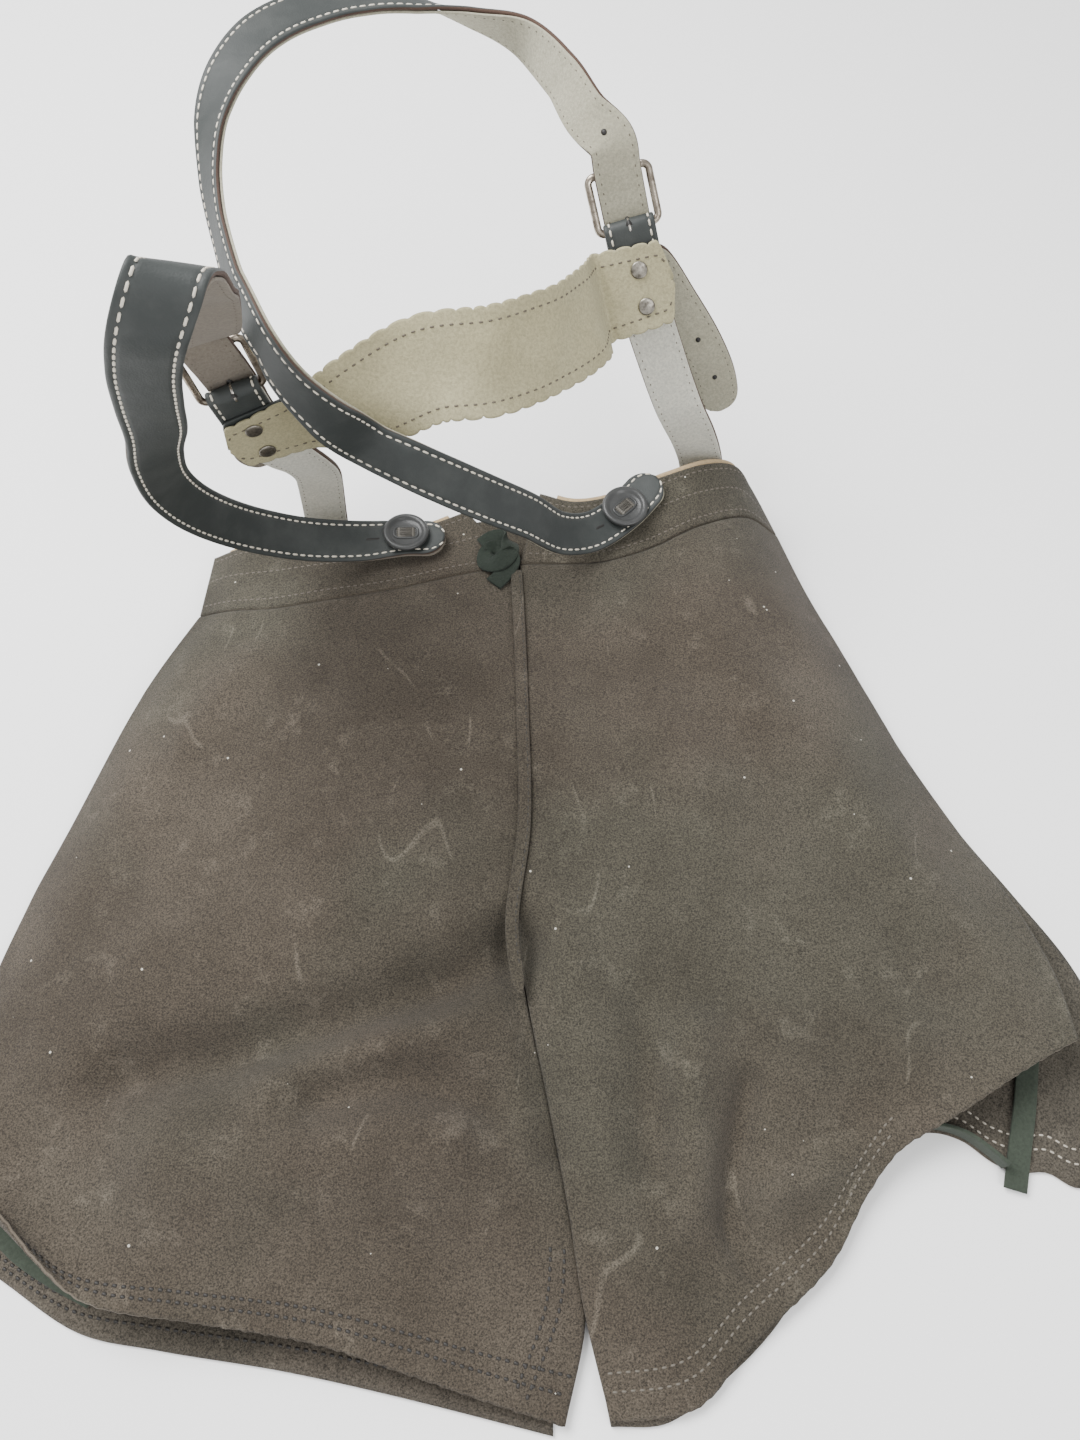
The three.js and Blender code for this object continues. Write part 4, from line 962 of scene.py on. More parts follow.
def buckle_place(side):
    """The heel bar's middle and the directions across, up and out of one buckle."""
    heel, up, across = (np.array(v, float) for v in BUCKLES[side])
    up = unit(up)
    across = unit(across - across.dot(up) * up)
    return heel, across, up, np.cross(up, across)


def at_buckle(side, wide, high, out):
    """Point given by its distances across, up and out from the middle of a heel bar."""
    heel, across, up, outward = buckle_place(side)
    return heel + wide * across + high * up + out * outward


def smooth_leather(name, colour, worn, roughness):
    """Smooth dark leather: pebbled grain in the normal, and a slightly paler worn tone in soft patches."""
    material, shader = new_finish(name, Roughness=roughness, Specular_IOR_Level=0.35)
    tree = material.node_tree
    place = node(tree, "TexCoord").outputs["Object"]
    patch = texture(tree, "TexNoise", place, Scale=60.0, Detail=6.0, Roughness=0.65).outputs["Fac"]
    pebble = texture(tree, "TexVoronoi", place, Scale=1400.0).outputs["Distance"]
    feed(tree, mixed(tree, spread(tree, patch, 0.42, 0.75), colour, worn), shader.inputs["Base Color"])
    soft = raised(tree, patch, 0.25, 0.0012)
    feed(tree, raised(tree, pebble, 0.22, 0.0002, soft), shader.inputs["Normal"])
    return material


STRAP_DARK = smooth_leather("dark strap leather", (0.025, 0.029, 0.028), (0.042, 0.046, 0.044), 0.58)
STRAP_EDGE = napped("cut strap edge", (0.055, 0.033, 0.024), (0.12, 0.078, 0.06), grain=1600, strength=0.3)
STRAP_FLESH = napped("strap lining suede", (0.30, 0.285, 0.215), (0.41, 0.395, 0.31), grain=800, strength=0.4)
# A darker copy of the lining suede, for the left shoulder strap only: painted shade.
STRAP_FLESH_PAINTED_SHADE = napped("lining suede with painted shade", (0.15, 0.13, 0.105), (0.22, 0.195, 0.16), grain=800, strength=0.4)
CREAM_THREAD = thread_material("cream thread", (0.55, 0.51, 0.43))
# A lighter copy of the lining suede for the chest straps: painted light on linings that face down, away from the
# lamps.
CHEST_FLESH_PAINTED_LIGHT = napped("chest strap lining suede with painted light", (0.46, 0.45, 0.39), (0.60, 0.59, 0.52), grain=800, strength=0.35)
HOLE_THREAD = thread_material("thread in the lining", (0.085, 0.07, 0.05))
# Near-black for holes and slits: painted shade where the leather is cut through.
HOLE_SHADE = thread_material("painted shade in a hole", (0.008, 0.007, 0.006))


def face_profile(width, near, far, crown=0.3):
    """Face leather: a flat band whose outside is crowned between its stitch rows and pressed down under
    them, as crown x cos(across) less a narrow groove at each row."""
    profile = band_profile(width, near, far, 0.7, 33)
    top = profile[:, 1] > far - 0.05
    x = profile[top, 0]
    row = width / 2 - ROW_INSET
    groove = np.exp(-(((np.abs(x) - row) / 0.7) ** 2))
    profile[top, 1] += crown * np.cos(math.pi * x / width) - 0.35 * groove
    return profile


def strap_pair(name, frames, lining_frames, width, starts, ends, cad_face, cad_lining, flesh):
    """One strap: face leather with brown cut edges, its lining, and two rows of cream stitches outside with
    their finer backs inside. Starts and ends are the radii of its rounded tips."""
    profile = face_profile(width, FACE_NEAR, FACE_FAR)
    outside = np.abs(np.roll(profile, -1, 0)[:, 1] + profile[:, 1] - 2 * FACE_FAR) < 1.4
    face = swept(
        name, frames, profile, [STRAP_DARK, STRAP_EDGE], rounded_reach(frames["length"], starts, ends),
        slots=np.where(outside, 0, 1),
    )
    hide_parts(cad_face)
    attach(face, "garment")
    inner_width = width - 2 * LINING_INSET
    lining = swept(
        name + "_flesh_side", lining_frames, band_profile(inner_width, LINING_FAR, -FACE_NEAR, 0.4, 11),
        [flesh], rounded_reach(lining_frames["length"], min(starts, 9), ends),
    )
    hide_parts(cad_lining)
    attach(lining, "garment")
    row = width / 2 - ROW_INSET
    outer_rows, inner_rows = [], []
    for x in (-row, row):
        offset = x * rounded_reach(frames["length"], max(starts - 2, 0), max(ends - 2, 0))
        outer_rows.append(strap_row(frames, offset, FACE_FAR - 0.02, STRAP_PITCH))
        offset = x * rounded_reach(lining_frames["length"], max(starts - 2, 0), max(ends - 2, 0))
        inner_rows.append(strap_row(lining_frames, offset, LINING_FAR - 0.02, STRAP_PITCH))
    sew(name + "_stitches", outer_rows, CREAM_THREAD, length=3.4, radius=0.55)
    sew(name + "_stitch_backs", inner_rows, HOLE_THREAD, length=1.3, radius=0.32)


def back_strap_frames(side):
    """The back strap from its button up and over to the buckle, under the tip bar and out as a tail."""
    across = list(buckle_place(side)[1])
    through = [[37, 0], [25, 1.5], [14, 3.9], [5, 5.4], [-5, 6.8], [-14, 7.6]]
    buckled = [[list(at_buckle(side, 0, high, out)), across] for high, out in through]
    return strap_frames(BACK_STRAPS[side] + buckled + TAILS[side], 1.3)


def joined_frames(*runs):
    """Several runs of frames as one, with lengths measured again."""
    whole = {key: np.concatenate([run[key] for run in runs]) for key in ("middle", "tangent", "wide", "out")}
    whole["length"] = running_length(whole["middle"])
    return whole


def straight_run(side, highs, outs, tangents):
    """Frames at the given heights and distances out from a heel bar, with their tangents in (up, out)."""
    heel, across, up, outward = buckle_place(side)
    highs, outs, tangents = (np.asarray(a, float) for a in (highs, outs, tangents))
    tangent = tangents[:, :1] * up + tangents[:, 1:] * outward
    wide = np.tile(across, (len(highs), 1))
    return {
        "middle": heel + highs[:, None] * up + outs[:, None] * outward,
        "tangent": tangent,
        "wide": wide,
        "out": np.cross(wide, tangent),
    }


def front_strap_frames(side):
    """The front strap's face: a return flap inside, half a turn round the heel bar, and down outside; and
    the lining, which is only on the outer run."""
    across = list(buckle_place(side)[1])
    rise = np.linspace(-STRAIGHT, -1, 30)
    turn = np.linspace(0, math.pi, 25)
    fall = np.linspace(-1, -STRAIGHT + 9, 24)
    flap = straight_run(side, rise, np.full(30, -WRAP), np.tile([1, 0], (30, 1)))
    turning = np.stack([np.cos(turn), np.sin(turn)], -1)
    bend = straight_run(side, WRAP * np.sin(turn), -WRAP * np.cos(turn), turning)
    outer = straight_run(side, fall, np.full(24, WRAP), np.tile([-1, 0], (24, 1)))
    start = [[list(at_buckle(side, 0, high, WRAP)), across] for high in (-STRAIGHT + 8, -STRAIGHT)]
    lower = strap_frames(start + FRONT_STRAPS[side], 1.3)
    return joined_frames(flap, bend, outer, lower), joined_frames(outer, lower)


def shade_disc(name, place, along, out, long, wide):
    """Painted shade of a hole or slit: a dark, shallow closed disc stretched to its length and width, just
    proud of the leather."""
    angle = np.linspace(0, 2 * math.pi, 28, endpoint=False)
    side = np.cross(out, along)
    ring = np.cos(angle)[:, None] * along * long / 2 + np.sin(angle)[:, None] * side * wide / 2
    points = np.vstack([place + ring + 0.1 * out, place + ring - 0.3 * out, place + 0.1 * out, place - 0.3 * out])
    k = np.arange(28)
    nxt = (k + 1) % 28
    quads = np.stack([k, 28 + k, 28 + nxt, nxt], -1)
    face, foot = np.stack([np.full(28, 56), k, nxt], -1), np.stack([np.full(28, 57), 28 + nxt, 28 + k], -1)
    piece = new_piece(name, points, quads, [HOLE_SHADE], np.vstack([face, foot]))
    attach(piece, "garment")


BACK_FRAMES = {side: back_strap_frames(side) for side in ("left", "right")}
FRONT_FRAMES = {side: front_strap_frames(side) for side in ("left", "right")}
# The left shoulder strap's lining takes the darker copy of the lining suede: painted shade.
SHOULDER_FLESH = {"left": STRAP_FLESH_PAINTED_SHADE, "right": STRAP_FLESH}
for side in ("left", "right"):
    strap_pair(
        "shoulder_strap_" + side, BACK_FRAMES[side], BACK_FRAMES[side], STRAP_WIDTH, TIP_ROUNDING,
        TIP_ROUNDING, "back_strap_" + side, "back_strap_lining_" + side, SHOULDER_FLESH[side],
    )
    face_frames, flesh_frames = FRONT_FRAMES[side]
    # The chest straps' linings take the lighter copy of the lining suede: painted light.
    strap_pair(
        "chest_strap_" + side, face_frames, flesh_frames, FRONT_STRAP_WIDTH, 0, TIP_ROUNDING,
        "front_strap_" + side, "front_strap_lining_" + side, CHEST_FLESH_PAINTED_LIGHT,
    )


def nearest_frame(frames, place):
    """The frame nearest to a place, as (middle, tangent, out)."""
    i = int(np.argmin(np.linalg.norm(frames["middle"] - np.array(place, float), axis=1)))
    return frames["middle"][i], frames["tangent"][i], frames["out"][i]


def punched_hole(label, side, middle, along, out):
    """One hole for the prong, drawn as discs of painted shade on the strap's face and on its lining."""
    front, back = middle + out * (FACE_FAR + 0.25), middle + out * (LINING_FAR - 0.05)
    front_name, back_name = HOLE_NAMES[label]
    shade_disc(f"{front_name}_{side}", front, along, out, HOLE_LENGTH, HOLE_WIDTH)
    shade_disc(f"{back_name}_{side}", back, along, -out, HOLE_LENGTH, HOLE_WIDTH)


HOLE_LENGTH = 2.8
HOLE_WIDTH = 2.6
HOLE_ABOVE_HEEL = 44
HOLES_FROM_TIP = {"first": 22.0, "second": 47.0}
HOLE_NAMES = {
    "first": ("strap_hole_first", "strap_hole_back_first"),
    "second": ("strap_hole_second", "strap_hole_back_second"),
    "above": ("strap_hole_above", "strap_hole_above_back"),
}
BUTTONHOLE_LENGTH = 20
BUTTONHOLE_WIDTH = 1.2
PAST_BUTTON = 18
for side in ("left", "right"):
    frames = BACK_FRAMES[side]
    middle, along, out = nearest_frame(frames, BACK_STRAPS[side][1][0])
    middle, along, out = nearest_frame(frames, middle + PAST_BUTTON * along)
    # The buttonhole slit is a dark disc of painted shade.
    slit = middle + out * (FACE_FAR + 0.3)
    shade_disc("buttonhole_slit_" + side, slit, along, out, BUTTONHOLE_LENGTH, BUTTONHOLE_WIDTH)
    for label, away in HOLES_FROM_TIP.items():
        i = int(np.argmin(np.abs(frames["length"] - (frames["length"][-1] - away))))
        punched_hole(label, side, frames["middle"][i], frames["tangent"][i], frames["out"][i])
    punched_hole("above", side, *nearest_frame(frames, at_buckle(side, 0, HOLE_ABOVE_HEEL, 0)))

# ---- Buckles ----
# Heel-bar buckles of antiqued metal: the front strap folds round the plain bar at the foot of the frame,
# and a round prong, looped on the same bar, lies across the strap onto the far bar.
def cast_metal(name, colour, dark, roughness, scale=260.0):
    """Antiqued metal: bright and dark tones mixed by fine noise, with a rougher finish where it is dark."""
    material, shader = new_finish(name, Metallic=1.0)
    tree = material.node_tree
    place = node(tree, "TexCoord").outputs["Object"]
    noise = texture(tree, "TexNoise", place, Scale=scale, Detail=5.0, Roughness=0.6).outputs["Fac"]
    patina = spread(tree, noise, 0.4, 0.68)
    feed(tree, mixed(tree, patina, colour, dark), shader.inputs["Base Color"])
    finish = spread(tree, patina, to_low=roughness, to_high=roughness + 0.22)
    feed(tree, finish, shader.inputs["Roughness"])
    feed(tree, raised(tree, noise, 0.15, 0.0002), shader.inputs["Normal"])
    return material


BUCKLE_METAL = cast_metal("antiqued buckle metal", (0.38, 0.335, 0.275), (0.10, 0.082, 0.065), 0.24)
PRONG_METAL = cast_metal("prong metal", (0.66, 0.63, 0.58), (0.34, 0.31, 0.27), 0.22)


def closed_tube(name, middle, wide, out, profile, materials):
    """A profile carried round a closed loop of places: a ring without ends."""
    across = profile[None, :, 0, None] * wide[:, None, :]
    outward = profile[None, :, 1, None] * out[:, None, :]
    rings = middle[:, None, :] + across + outward
    faces = tube_faces(len(middle), len(profile), closed=True)
    return new_piece(name, rings.reshape(-1, 3), faces, materials)


def frame_loop(half_wide, low, high, corner, count=14):
    """Rounded rectangle, anticlockwise: four quarter circles joined by straight sides, with its normals."""
    turn = np.linspace(0, math.pi / 2, count)
    points, normals = [], []
    for k, (x, y) in enumerate([(1, 1), (-1, 1), (-1, -1), (1, -1)]):
        angle = turn + k * math.pi / 2
        centre = (x * (half_wide - corner), (high - corner) if y > 0 else (low + corner))
        normal = np.stack([np.cos(angle), np.sin(angle)], -1)
        points.append(centre + corner * normal)
        normals.append(normal)
    return np.vstack(points), np.vstack(normals)


BAR_ROUND = 1.3
BAR_WIDE = 1.75
BUCKLE_CORNER = 3.2
LOOP_CLEARANCE = 0.45
PRONG_STEPS = 110
wire_angle = np.linspace(0, 2 * math.pi, 16, endpoint=False)
wire_section = np.stack([np.cos(wire_angle), np.sin(wire_angle)], -1)
for side in ("left", "right"):
    heel, across, up, outward = buckle_place(side)
    lean = math.asin(BUCKLE_LIFT / BUCKLE_LENGTH)
    leaning_up = math.cos(lean) * up + math.sin(lean) * outward
    face_out = np.cross(leaning_up, across)
    half_wide = FRONT_STRAP_WIDTH / 2 + BUCKLE_SIDE_CLEARANCE + BUCKLE_WIRE / 2
    loop, normals = frame_loop(half_wide, 0, BUCKLE_LENGTH, BUCKLE_CORNER)
    middle = heel + loop[:, :1] * across + loop[:, 1:] * leaning_up
    wide = normals[:, :1] * across + normals[:, 1:] * leaning_up
    section = wire_section * (BAR_WIDE, BAR_ROUND)
    buckle = closed_tube(
        "buckle_" + side, middle, wide, np.tile(face_out, (len(loop), 1)), section, [BUCKLE_METAL]
    )
    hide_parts("buckle_frame_" + side)
    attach(buckle, "buckle_frame_" + side)
    tip = BUCKLE_LIFT + BUCKLE_WIRE / 2 + SEAT_GAP + PRONG_WIRE / 2
    loop_radius = WRAP + FACE_FAR - PRONG_WIRE / 2 + LOOP_CLEARANCE
    turns = np.linspace(-0.35 * math.pi, -2.2 * math.pi, 30)
    ring = np.stack([loop_radius * np.sin(turns), loop_radius * np.cos(turns)], -1)
    arm = [
        [4.6, 5.4], [7, 8.0], [11, 9.3], [18, 9.2],
        [BUCKLE_LENGTH - 1, tip + 0.3], [BUCKLE_LENGTH + 2.2, tip - 0.3],
    ]
    line, length, _ = smooth_curve(np.vstack([ring[::3], arm]))
    where = np.linspace(0, length[-1], PRONG_STEPS)
    line = at_length(line, length, where)
    prong_middle = heel + line[:, :1] * up + line[:, 1:] * outward
    tangent = unit(np.gradient(prong_middle, axis=0))
    prong_frames = {
        "middle": prong_middle,
        "tangent": tangent,
        "wide": np.tile(across, (PRONG_STEPS, 1)),
        "out": np.cross(across, tangent),
        "length": where,
    }
    prong = swept(
        "prong_" + side, prong_frames, wire_section * PRONG_WIRE / 2, [PRONG_METAL],
        reach=rounded_reach(where, 0.5, 1.5),
    )
    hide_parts("buckle_prong_" + side)
    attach(prong, "buckle_prong_" + side)
    # Dark discs of painted shade mark where the prong passes through the folded strap, in front and behind.
    shade_disc("prong_slot_" + side, at_buckle(side, 0, 1.2, FOLD_OUT - 0.05), up, outward, 6.5, 3.2)
    shade_disc("prong_slot_back_" + side, at_buckle(side, 0, -1.5, -FOLD_OUT + 0.05), up, -outward, 11, 3.6)

# ---- Crossband ----
# A wide band joins the two front straps. Its dark face is on the far side; what shows is the cream suede
# lining, cut in scallops all round, with one row of stitches where the two are sewn together.
CROSSBAND_MIDDLE = 47
CROSSBAND_END = 38
CROSSBAND_ROW_INSET = 5.5
CROSSBAND_PITCH = 4.2
RIVETED_ENDS = 40
LEFT_NARROWING = 0.24
SCALLOP_RISE = 3
SCALLOP_SHOWN = 1.5
SCALLOP_PITCH = 7.6
CROSSBAND = [
    [[-91, 361.5, 141], [-0.15, 0.05, 0.98]], [[-74, 363, 150], [-0.1, 0.35, 0.92]],
    [[-48, 368, 161], [0, 0.62, 0.78]], [[-20, 372, 162], [-0.1, 0.55, 0.83]],
    [[8, 391, 158], [-0.27, 0.35, 0.9]], [[24, 413, 152], [-0.34, 0.39, 0.86]],
]


def crossband_ends(side, alongs):
    """Straight stations of the crossband behind one buckle's front strap, at distances along the band."""
    up = list(buckle_place(side)[2])
    return [[list(at_buckle(side, along, -RIVET_ROW, CROSSBAND_OUT)), up] for along in alongs]


cross_route = (
    crossband_ends("left", [-OVERHANG, 0, OVERHANG, OVERHANG + 6])
    + CROSSBAND
    + crossband_ends("right", [-OVERHANG - 6, -OVERHANG, 0, OVERHANG])
)
cross_frames = strap_frames(cross_route, 0.7)
cross_length = cross_frames["length"]
share = 4 * cross_length * (cross_length[-1] - cross_length) / cross_length[-1] ** 2
cross_width = CROSSBAND_END + (CROSSBAND_MIDDLE - CROSSBAND_END) * share
crossband_face = swept(
    "crossband_outside", cross_frames,
    band_profile(1, CROSSBAND_NEAR, CROSSBAND_NEAR + CROSSBAND_FACE, 0.004, 9), [STRAP_DARK],
    reach=(cross_width - 2 * SCALLOP_RISE) * rounded_reach(cross_length, 5, 5),
)
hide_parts("crossband_face")
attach(crossband_face, "garment")


def scallops(length, pitch, rise):
    """Half circles side by side along an edge: rise x sqrt(1 - (2 x share of the pitch - 1)^2)."""
    share_of_pitch = (length / pitch) % 1
    return rise * np.sqrt(np.clip(1 - (2 * share_of_pitch - 1) ** 2, 0, 1))


def cream_band():
    """The scalloped lining: rows across at each frame, its edge moved out by the scallops, its ends too,
    and a slight crumple of sines through the middle."""
    far, near = -CROSSBAND_NEAR, -(CROSSBAND_NEAR + CROSSBAND_LINING)
    columns = 41
    x = np.linspace(-1, 1, columns)
    narrowed = 1 - LEFT_NARROWING * np.clip(1 - cross_length / 45, 0, 1)
    base = (cross_width / 2 - SCALLOP_SHOWN) * narrowed * rounded_reach(cross_length, 4, 4)
    edge = base + scallops(cross_length, SCALLOP_PITCH, SCALLOP_SHOWN)
    across = edge[:, None] * x[None, :]
    end_push = scallops(across[[0, -1]] + 100 * SCALLOP_PITCH, SCALLOP_PITCH, SCALLOP_SHOWN)
    middle = cross_frames["middle"][:, None, :] + across[..., None] * cross_frames["wide"][:, None, :]
    middle[0] -= end_push[0][:, None] * cross_frames["tangent"][0]
    middle[-1] += end_push[1][:, None] * cross_frames["tangent"][-1]
    from_ends = np.minimum(cross_length - RIVETED_ENDS, cross_length[-1] - RIVETED_ENDS - cross_length)
    open_span = np.clip(from_ends / 20, 0, 1)
    crumple = open_span[:, None] * (
        0.9 * np.sin(cross_length[:, None] / 13 + 1.5 * x) * np.cos(2.2 * x)
        + 0.45 * np.sin(cross_length[:, None] / 5.3 - 2.5 * x)
    )
    # The unsewn edge past the stitches waves a little.
    unsewn = np.clip((np.abs(across) - (base[:, None] - 6)) / 8, 0, 1)
    frill = unsewn * np.sin(cross_length[:, None] / 6.1 + 3 * x)
    outward = cross_frames["out"][:, None, :]
    skins = [
        middle + outward * (far + np.minimum(crumple + 0.5 * frill, 0.0))[..., None],
        middle + outward * (near + crumple * 0.9 + 0.5 * frill)[..., None],
    ]
    points = np.concatenate([skin.reshape(-1, 3) for skin in skins])
    return points, np.vstack(sheet_faces(len(cross_length), columns, flipped=True)), base / edge


CREAM_LINING = napped("cream crossband suede", (0.30, 0.272, 0.165), (0.43, 0.40, 0.27), grain=750, strength=0.45)
cream_points, cream_faces, cream_share = cream_band()
crossband = new_piece("crossband_cream", cream_points, cream_faces, [CREAM_LINING])
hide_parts("crossband_lining")
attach(crossband, "garment")
inner_skin = cream_points[len(cream_points) // 2:].reshape(len(cross_length), -1, 3)
edge_rows = []
for way in (-1, 1):
    # The row keeps its inset from the sewn edge, and lies between two columns of the inner skin.
    inset = 1 - CROSSBAND_ROW_INSET / (cross_width / 2)
    column = (way * inset * cream_share + 1) / 2 * (inner_skin.shape[1] - 1)
    low = np.floor(column).astype(int)
    rows_of = np.arange(len(low))
    between = (column - low)[:, None]
    line = inner_skin[rows_of, low] * (1 - between) + inner_skin[rows_of, low + 1] * between
    kernel = np.hanning(13) / np.hanning(13).sum()
    line = np.stack([np.convolve(np.pad(line[:, k], 6, mode="edge"), kernel, "valid") for k in range(3)], -1)
    length = running_length(line)
    where = np.arange(5, length[-1] - 5, CROSSBAND_PITCH)
    ahead = unit(at_length(line, length, where + 0.5) - at_length(line, length, where - 0.5))
    inward = -unit(at_length(cross_frames["out"], length, where))
    edge_rows.append((at_length(line, length, where) + 0.1 * inward, ahead, inward))
sew("crossband_stitches", edge_rows, HOLE_THREAD, length=2.2, radius=0.5)

# ---- Rivets ----
# Two tubular rivets with domed caps hold each end of the crossband through the folded front strap.
RIVET_METAL = cast_metal("antiqued rivet metal", (0.30, 0.28, 0.24), (0.11, 0.10, 0.085), 0.34, 400.0)
RIVET_CAP = 8
RIVET_CAP_HEIGHT = 1.2
RIVET_SHANK = 3


def turned(name, profile, place, along, out, materials, sides):
    """A profile of (radius, height) turned round an axis that stands at a place along its outward direction."""
    profile = np.array(profile, float)
    body = profile[1:-1]
    angle = np.linspace(0, 2 * math.pi, sides, endpoint=False)
    side = np.cross(out, along)
    spoke = np.cos(angle)[:, None] * along + np.sin(angle)[:, None] * side
    rings = place + body[:, None, :1] * spoke[None, :, :] + body[:, None, 1:] * out
    points = np.vstack([rings.reshape(-1, 3), place + out * profile[0, 1], place + out * profile[-1, 1]])
    n = len(body)
    return new_piece(name, points, tube_faces(n, sides), materials, end_fans(n, sides))


def domed_cap(base, height, radius, steps=7):
    """Half of a cap's outline, from its middle out: a shallow dome with a rolled edge."""
    t = np.linspace(0, 1, steps)
    r, h = radius * np.sin(t * math.pi / 2), base + height * (0.35 + 0.65 * np.cos(t * math.pi / 2))
    return np.stack([r, h], -1).tolist()


for side in ("left", "right"):
    heel, across, up, outward = buckle_place(side)
    inside = CROSSBAND_OUT - CROSSBAND_NEAR - CROSSBAND_LINING - SEAT_GAP
    outside = FOLD_OUT + SEAT_GAP
    cap = RIVET_CAP / 2
    inner_cap = domed_cap(inside, -RIVET_CAP_HEIGHT, cap)
    outer_cap = domed_cap(outside, RIVET_CAP_HEIGHT, cap)[::-1]
    outline = (
        inner_cap + [[cap, inside - 0.1], [cap - 0.3, inside], [RIVET_SHANK / 2, inside]]
        + [[RIVET_SHANK / 2, outside], [cap - 0.3, outside], [cap, outside + 0.1]] + outer_cap
    )
    for label, way in (("lower", -1), ("upper", 1)):
        rivet = turned(
            f"cap_rivet_{side}_{label}", outline, at_buckle(side, 0, -RIVET_ROW + way * RIVET_SPACING / 2, 0),
            across, outward, [RIVET_METAL], 32,
        )
        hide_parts(f"rivet_{side}_{label}")
        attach(rivet, "garment")

# ---- Buttons ----
# Round buttons of dark horn-coloured plastic with a raised rim and a dished middle, sewn on with a thread
# shank: two on the back waistband, two under the front waistband, and two smaller ones on the drop front.
BUTTON_DIAMETER = 24
BUTTON_THICKNESS = 4
STRAP_BOW = 1
HORN = smooth_leather("horn-coloured plastic", (0.034, 0.035, 0.035), (0.055, 0.056, 0.055), 0.34)
BUTTON_THREAD = thread_material("wound thread", (0.10, 0.092, 0.078))


def button_outline(diameter):
    """Outline of a button from its back's middle round the rim to its face's middle."""
    r, t = diameter / 2, BUTTON_THICKNESS
    return [
        [0, 0], [0.55 * r, 0], [0.8 * r, 0.12 * t], [0.93 * r, 0.32 * t], [0.985 * r, 0.52 * t], [r, 0.68 * t],
        [0.985 * r, 0.84 * t], [0.95 * r, 0.95 * t], [0.89 * r, t], [0.82 * r, 0.98 * t], [0.76 * r, 0.88 * t],
        [0.71 * r, 0.72 * t], [0.66 * r, 0.64 * t], [0.5 * r, 0.58 * t], [0.25 * r, 0.55 * t], [0, 0.55 * t],
    ]


RIDGE_LONG = 0.26
RIDGE_WIDE = 0.15
RIDGE_SQUARENESS = 0.55
WINDINGS = 5
WINDING_SPREAD = 0.10
WINDING_LONG = 0.46
WINDING_THICK = 0.045


def squared(wave, power):
    """A wave pushed towards its ends: its sign x its size to a power."""
    return np.sign(wave) * np.abs(wave) ** power


def sewn_button(name, node_name, diameter, place, along, out):
    """A button, the long ridge round its middle (a circle squared off and stretched) and the thread wound
    inside the ridge; sizes across are shares of the diameter."""
    button = turned(name, button_outline(diameter), place, along, out, [HORN], 64)
    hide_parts(node_name)
    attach(button, node_name)
    side = np.cross(out, along)
    face = place + out * 0.56 * BUTTON_THICKNESS
    turn = np.linspace(0, 2 * math.pi, 48, endpoint=False)
    long, wide = RIDGE_LONG * diameter, RIDGE_WIDE * diameter
    lengthwise = squared(np.cos(turn), RIDGE_SQUARENESS)[:, None] * along * long
    ring = lengthwise + squared(np.sin(turn), RIDGE_SQUARENESS)[:, None] * side * wide
    round_bar = np.linspace(0, 2 * math.pi, 8, endpoint=False)
    section = np.stack([0.75 * np.cos(round_bar), 0.7 * np.sin(round_bar)], -1)
    ridge = closed_tube(name + "_ridge", face + ring, unit(ring), np.tile(out, (48, 1)), section, [HORN])
    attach(ridge, node_name)
    both_ends = along * np.linspace(-0.1, 0.1, 2)[:, None]
    rows = [
        (face + out * 0.3 + side * offset + both_ends, np.tile(along, (2, 1)), np.tile(out, (2, 1)))
        for offset in np.linspace(-WINDING_SPREAD, WINDING_SPREAD, WINDINGS) * diameter
    ]
    sew(
        name + "_winding", rows, BUTTON_THREAD, node_name,
        length=WINDING_LONG * diameter, radius=WINDING_THICK * diameter,
    )


SHANK = thread_material("shank thread", (0.03, 0.03, 0.027))
down = np.array([0.0, 0.0, -1.0])
right = np.array([1.0, 0.0, 0.0])
for side in ("left", "right"):
    middle, along, out = nearest_frame(BACK_FRAMES[side], BACK_STRAPS[side][1][0])
    sewn_button(
        "brace_button_back_" + side, "back_button_" + side, BUTTON_DIAMETER,
        middle + out * (FACE_FAR + STRAP_BOW), along, out,
    )
    middle, along, out = nearest_frame(FRONT_FRAMES[side][1], FRONT_STRAPS[side][-2][0])
    sewn_button(
        "brace_button_front_" + side, "front_button_" + side, BUTTON_DIAMETER,
        np.array([middle[0], middle[1], middle[2] - FACE_FAR - SEAT_GAP]), right, down,
    )
# The shanks, the drop front's buttons and its flap show as they are, with their finish changed.
REPAINTED = {
    **{f"{label}_button_{side}_thread": SHANK for side in ("left", "right") for label in ("back", "front")},
    "flap_button_left": HORN,
    "flap_button_right": HORN,
    "drop_front_flap": SUEDE,
}
for node_name, finish in REPAINTED.items():
    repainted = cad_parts[node_name].data.materials
    repainted.clear()
    repainted.append(finish)

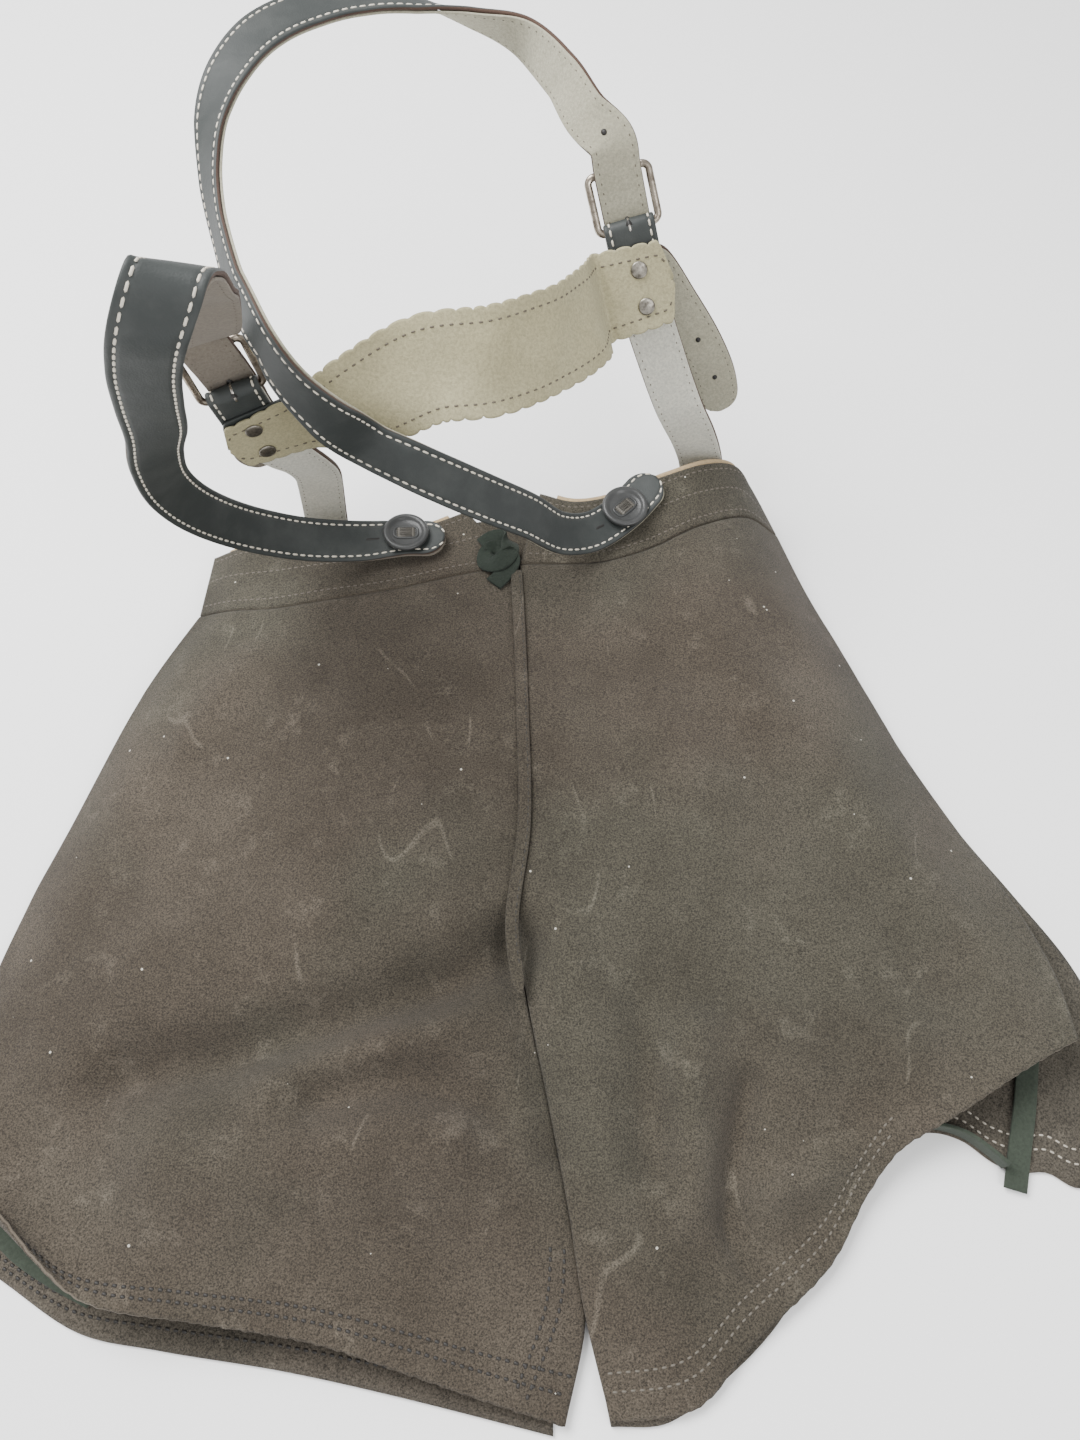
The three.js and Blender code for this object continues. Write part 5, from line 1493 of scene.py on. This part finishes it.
# ---- Adjuster lace ----
# A dark green lace knotted at the notch draws the two halves of the back waistband together.
KNOT_GREEN = napped("dark green knotted lace", (0.011, 0.016, 0.012), (0.034, 0.043, 0.033), 700, 0.6)
ADJUSTER_LACE = [
    [[-31, 368, 41.6], [0.3, 0.95, 0]], [[-24, 372, 42.6], [0.1, 0.95, 0.2]],
    [[-17, 369, 44.6], [-0.7, 0.6, 0.3]], [[-16, 360, 45.6], [-0.95, 0.1, 0.25]],
    [[-22, 354, 44.4], [-0.4, 0.9, 0.1]], [[-28, 356, 42.2], [0.5, 0.85, 0]],
    [[-27, 364, 41.4], [0.95, 0.3, 0]], [[-20, 364, 43.4], [0.4, -0.9, 0.1]],
    [[-15, 357, 43.2], [0.9, -0.4, 0.1]], [[-19, 348, 42.6], [0.95, -0.25, 0]],
    [[-24, 342, 42.2], [0.8, -0.6, 0]],
]
knot_frames = strap_frames(ADJUSTER_LACE, 1.0)
half_lace = LACE_THICKNESS / 2
knot = swept("notch_knot", knot_frames, band_profile(LACE_WIDTH, -half_lace, half_lace, 0.3, 7), [KNOT_GREEN])
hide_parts("adjuster_lace_knot")
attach(knot, "garment")

# ---- Table and light ----
# A plain pale table top under soft light from a large panel above and behind, and a weaker one in front.
TABLE_HALF = 6.0
TABLE_DROP = 0.0005
table_mesh = bpy.data.meshes.new("table")
table_signs = ((-1, -1), (1, -1), (1, 1), (-1, 1))
table_corners = [(x * TABLE_HALF, y * TABLE_HALF, -TABLE_DROP) for x, y in table_signs]
table_mesh.from_pydata(table_corners, [], [(0, 1, 2, 3)])
table_mesh.materials.append(new_finish("table top", Base_Color=(0.92, 0.92, 0.92), Roughness=0.75)[0])
table = bpy.data.objects.new("table", table_mesh)
bpy.context.scene.collection.objects.link(table)
for name, place, aim, size, power in (
    ("soft panel", (-0.75, 0.45, 1.45), (0, 0, 0.05), 1.0, 58.0),
    ("front panel", (0.7, -1.2, 1.2), (0, 0, 0.1), 0.9, 18.0),
):
    light = bpy.data.lights.new(name, "AREA")
    light.size = size
    light.energy = power
    lamp = bpy.data.objects.new(name, light)
    bpy.context.scene.collection.objects.link(lamp)
    towards = unit(np.array(aim, float) - np.array(place, float))
    side_way = unit(np.cross(towards, [0, 0, 1.0]))
    turn = Matrix([side_way, np.cross(side_way, towards), -towards]).transposed()
    lamp.matrix_world = Matrix.Translation(place) @ turn.to_4x4()
world = bpy.data.worlds.new("pale room")
world.use_nodes = True
world.node_tree.nodes["Background"].inputs["Color"].default_value = (1, 1, 1, 1)
world.node_tree.nodes["Background"].inputs["Strength"].default_value = 1.0
bpy.context.scene.world = world
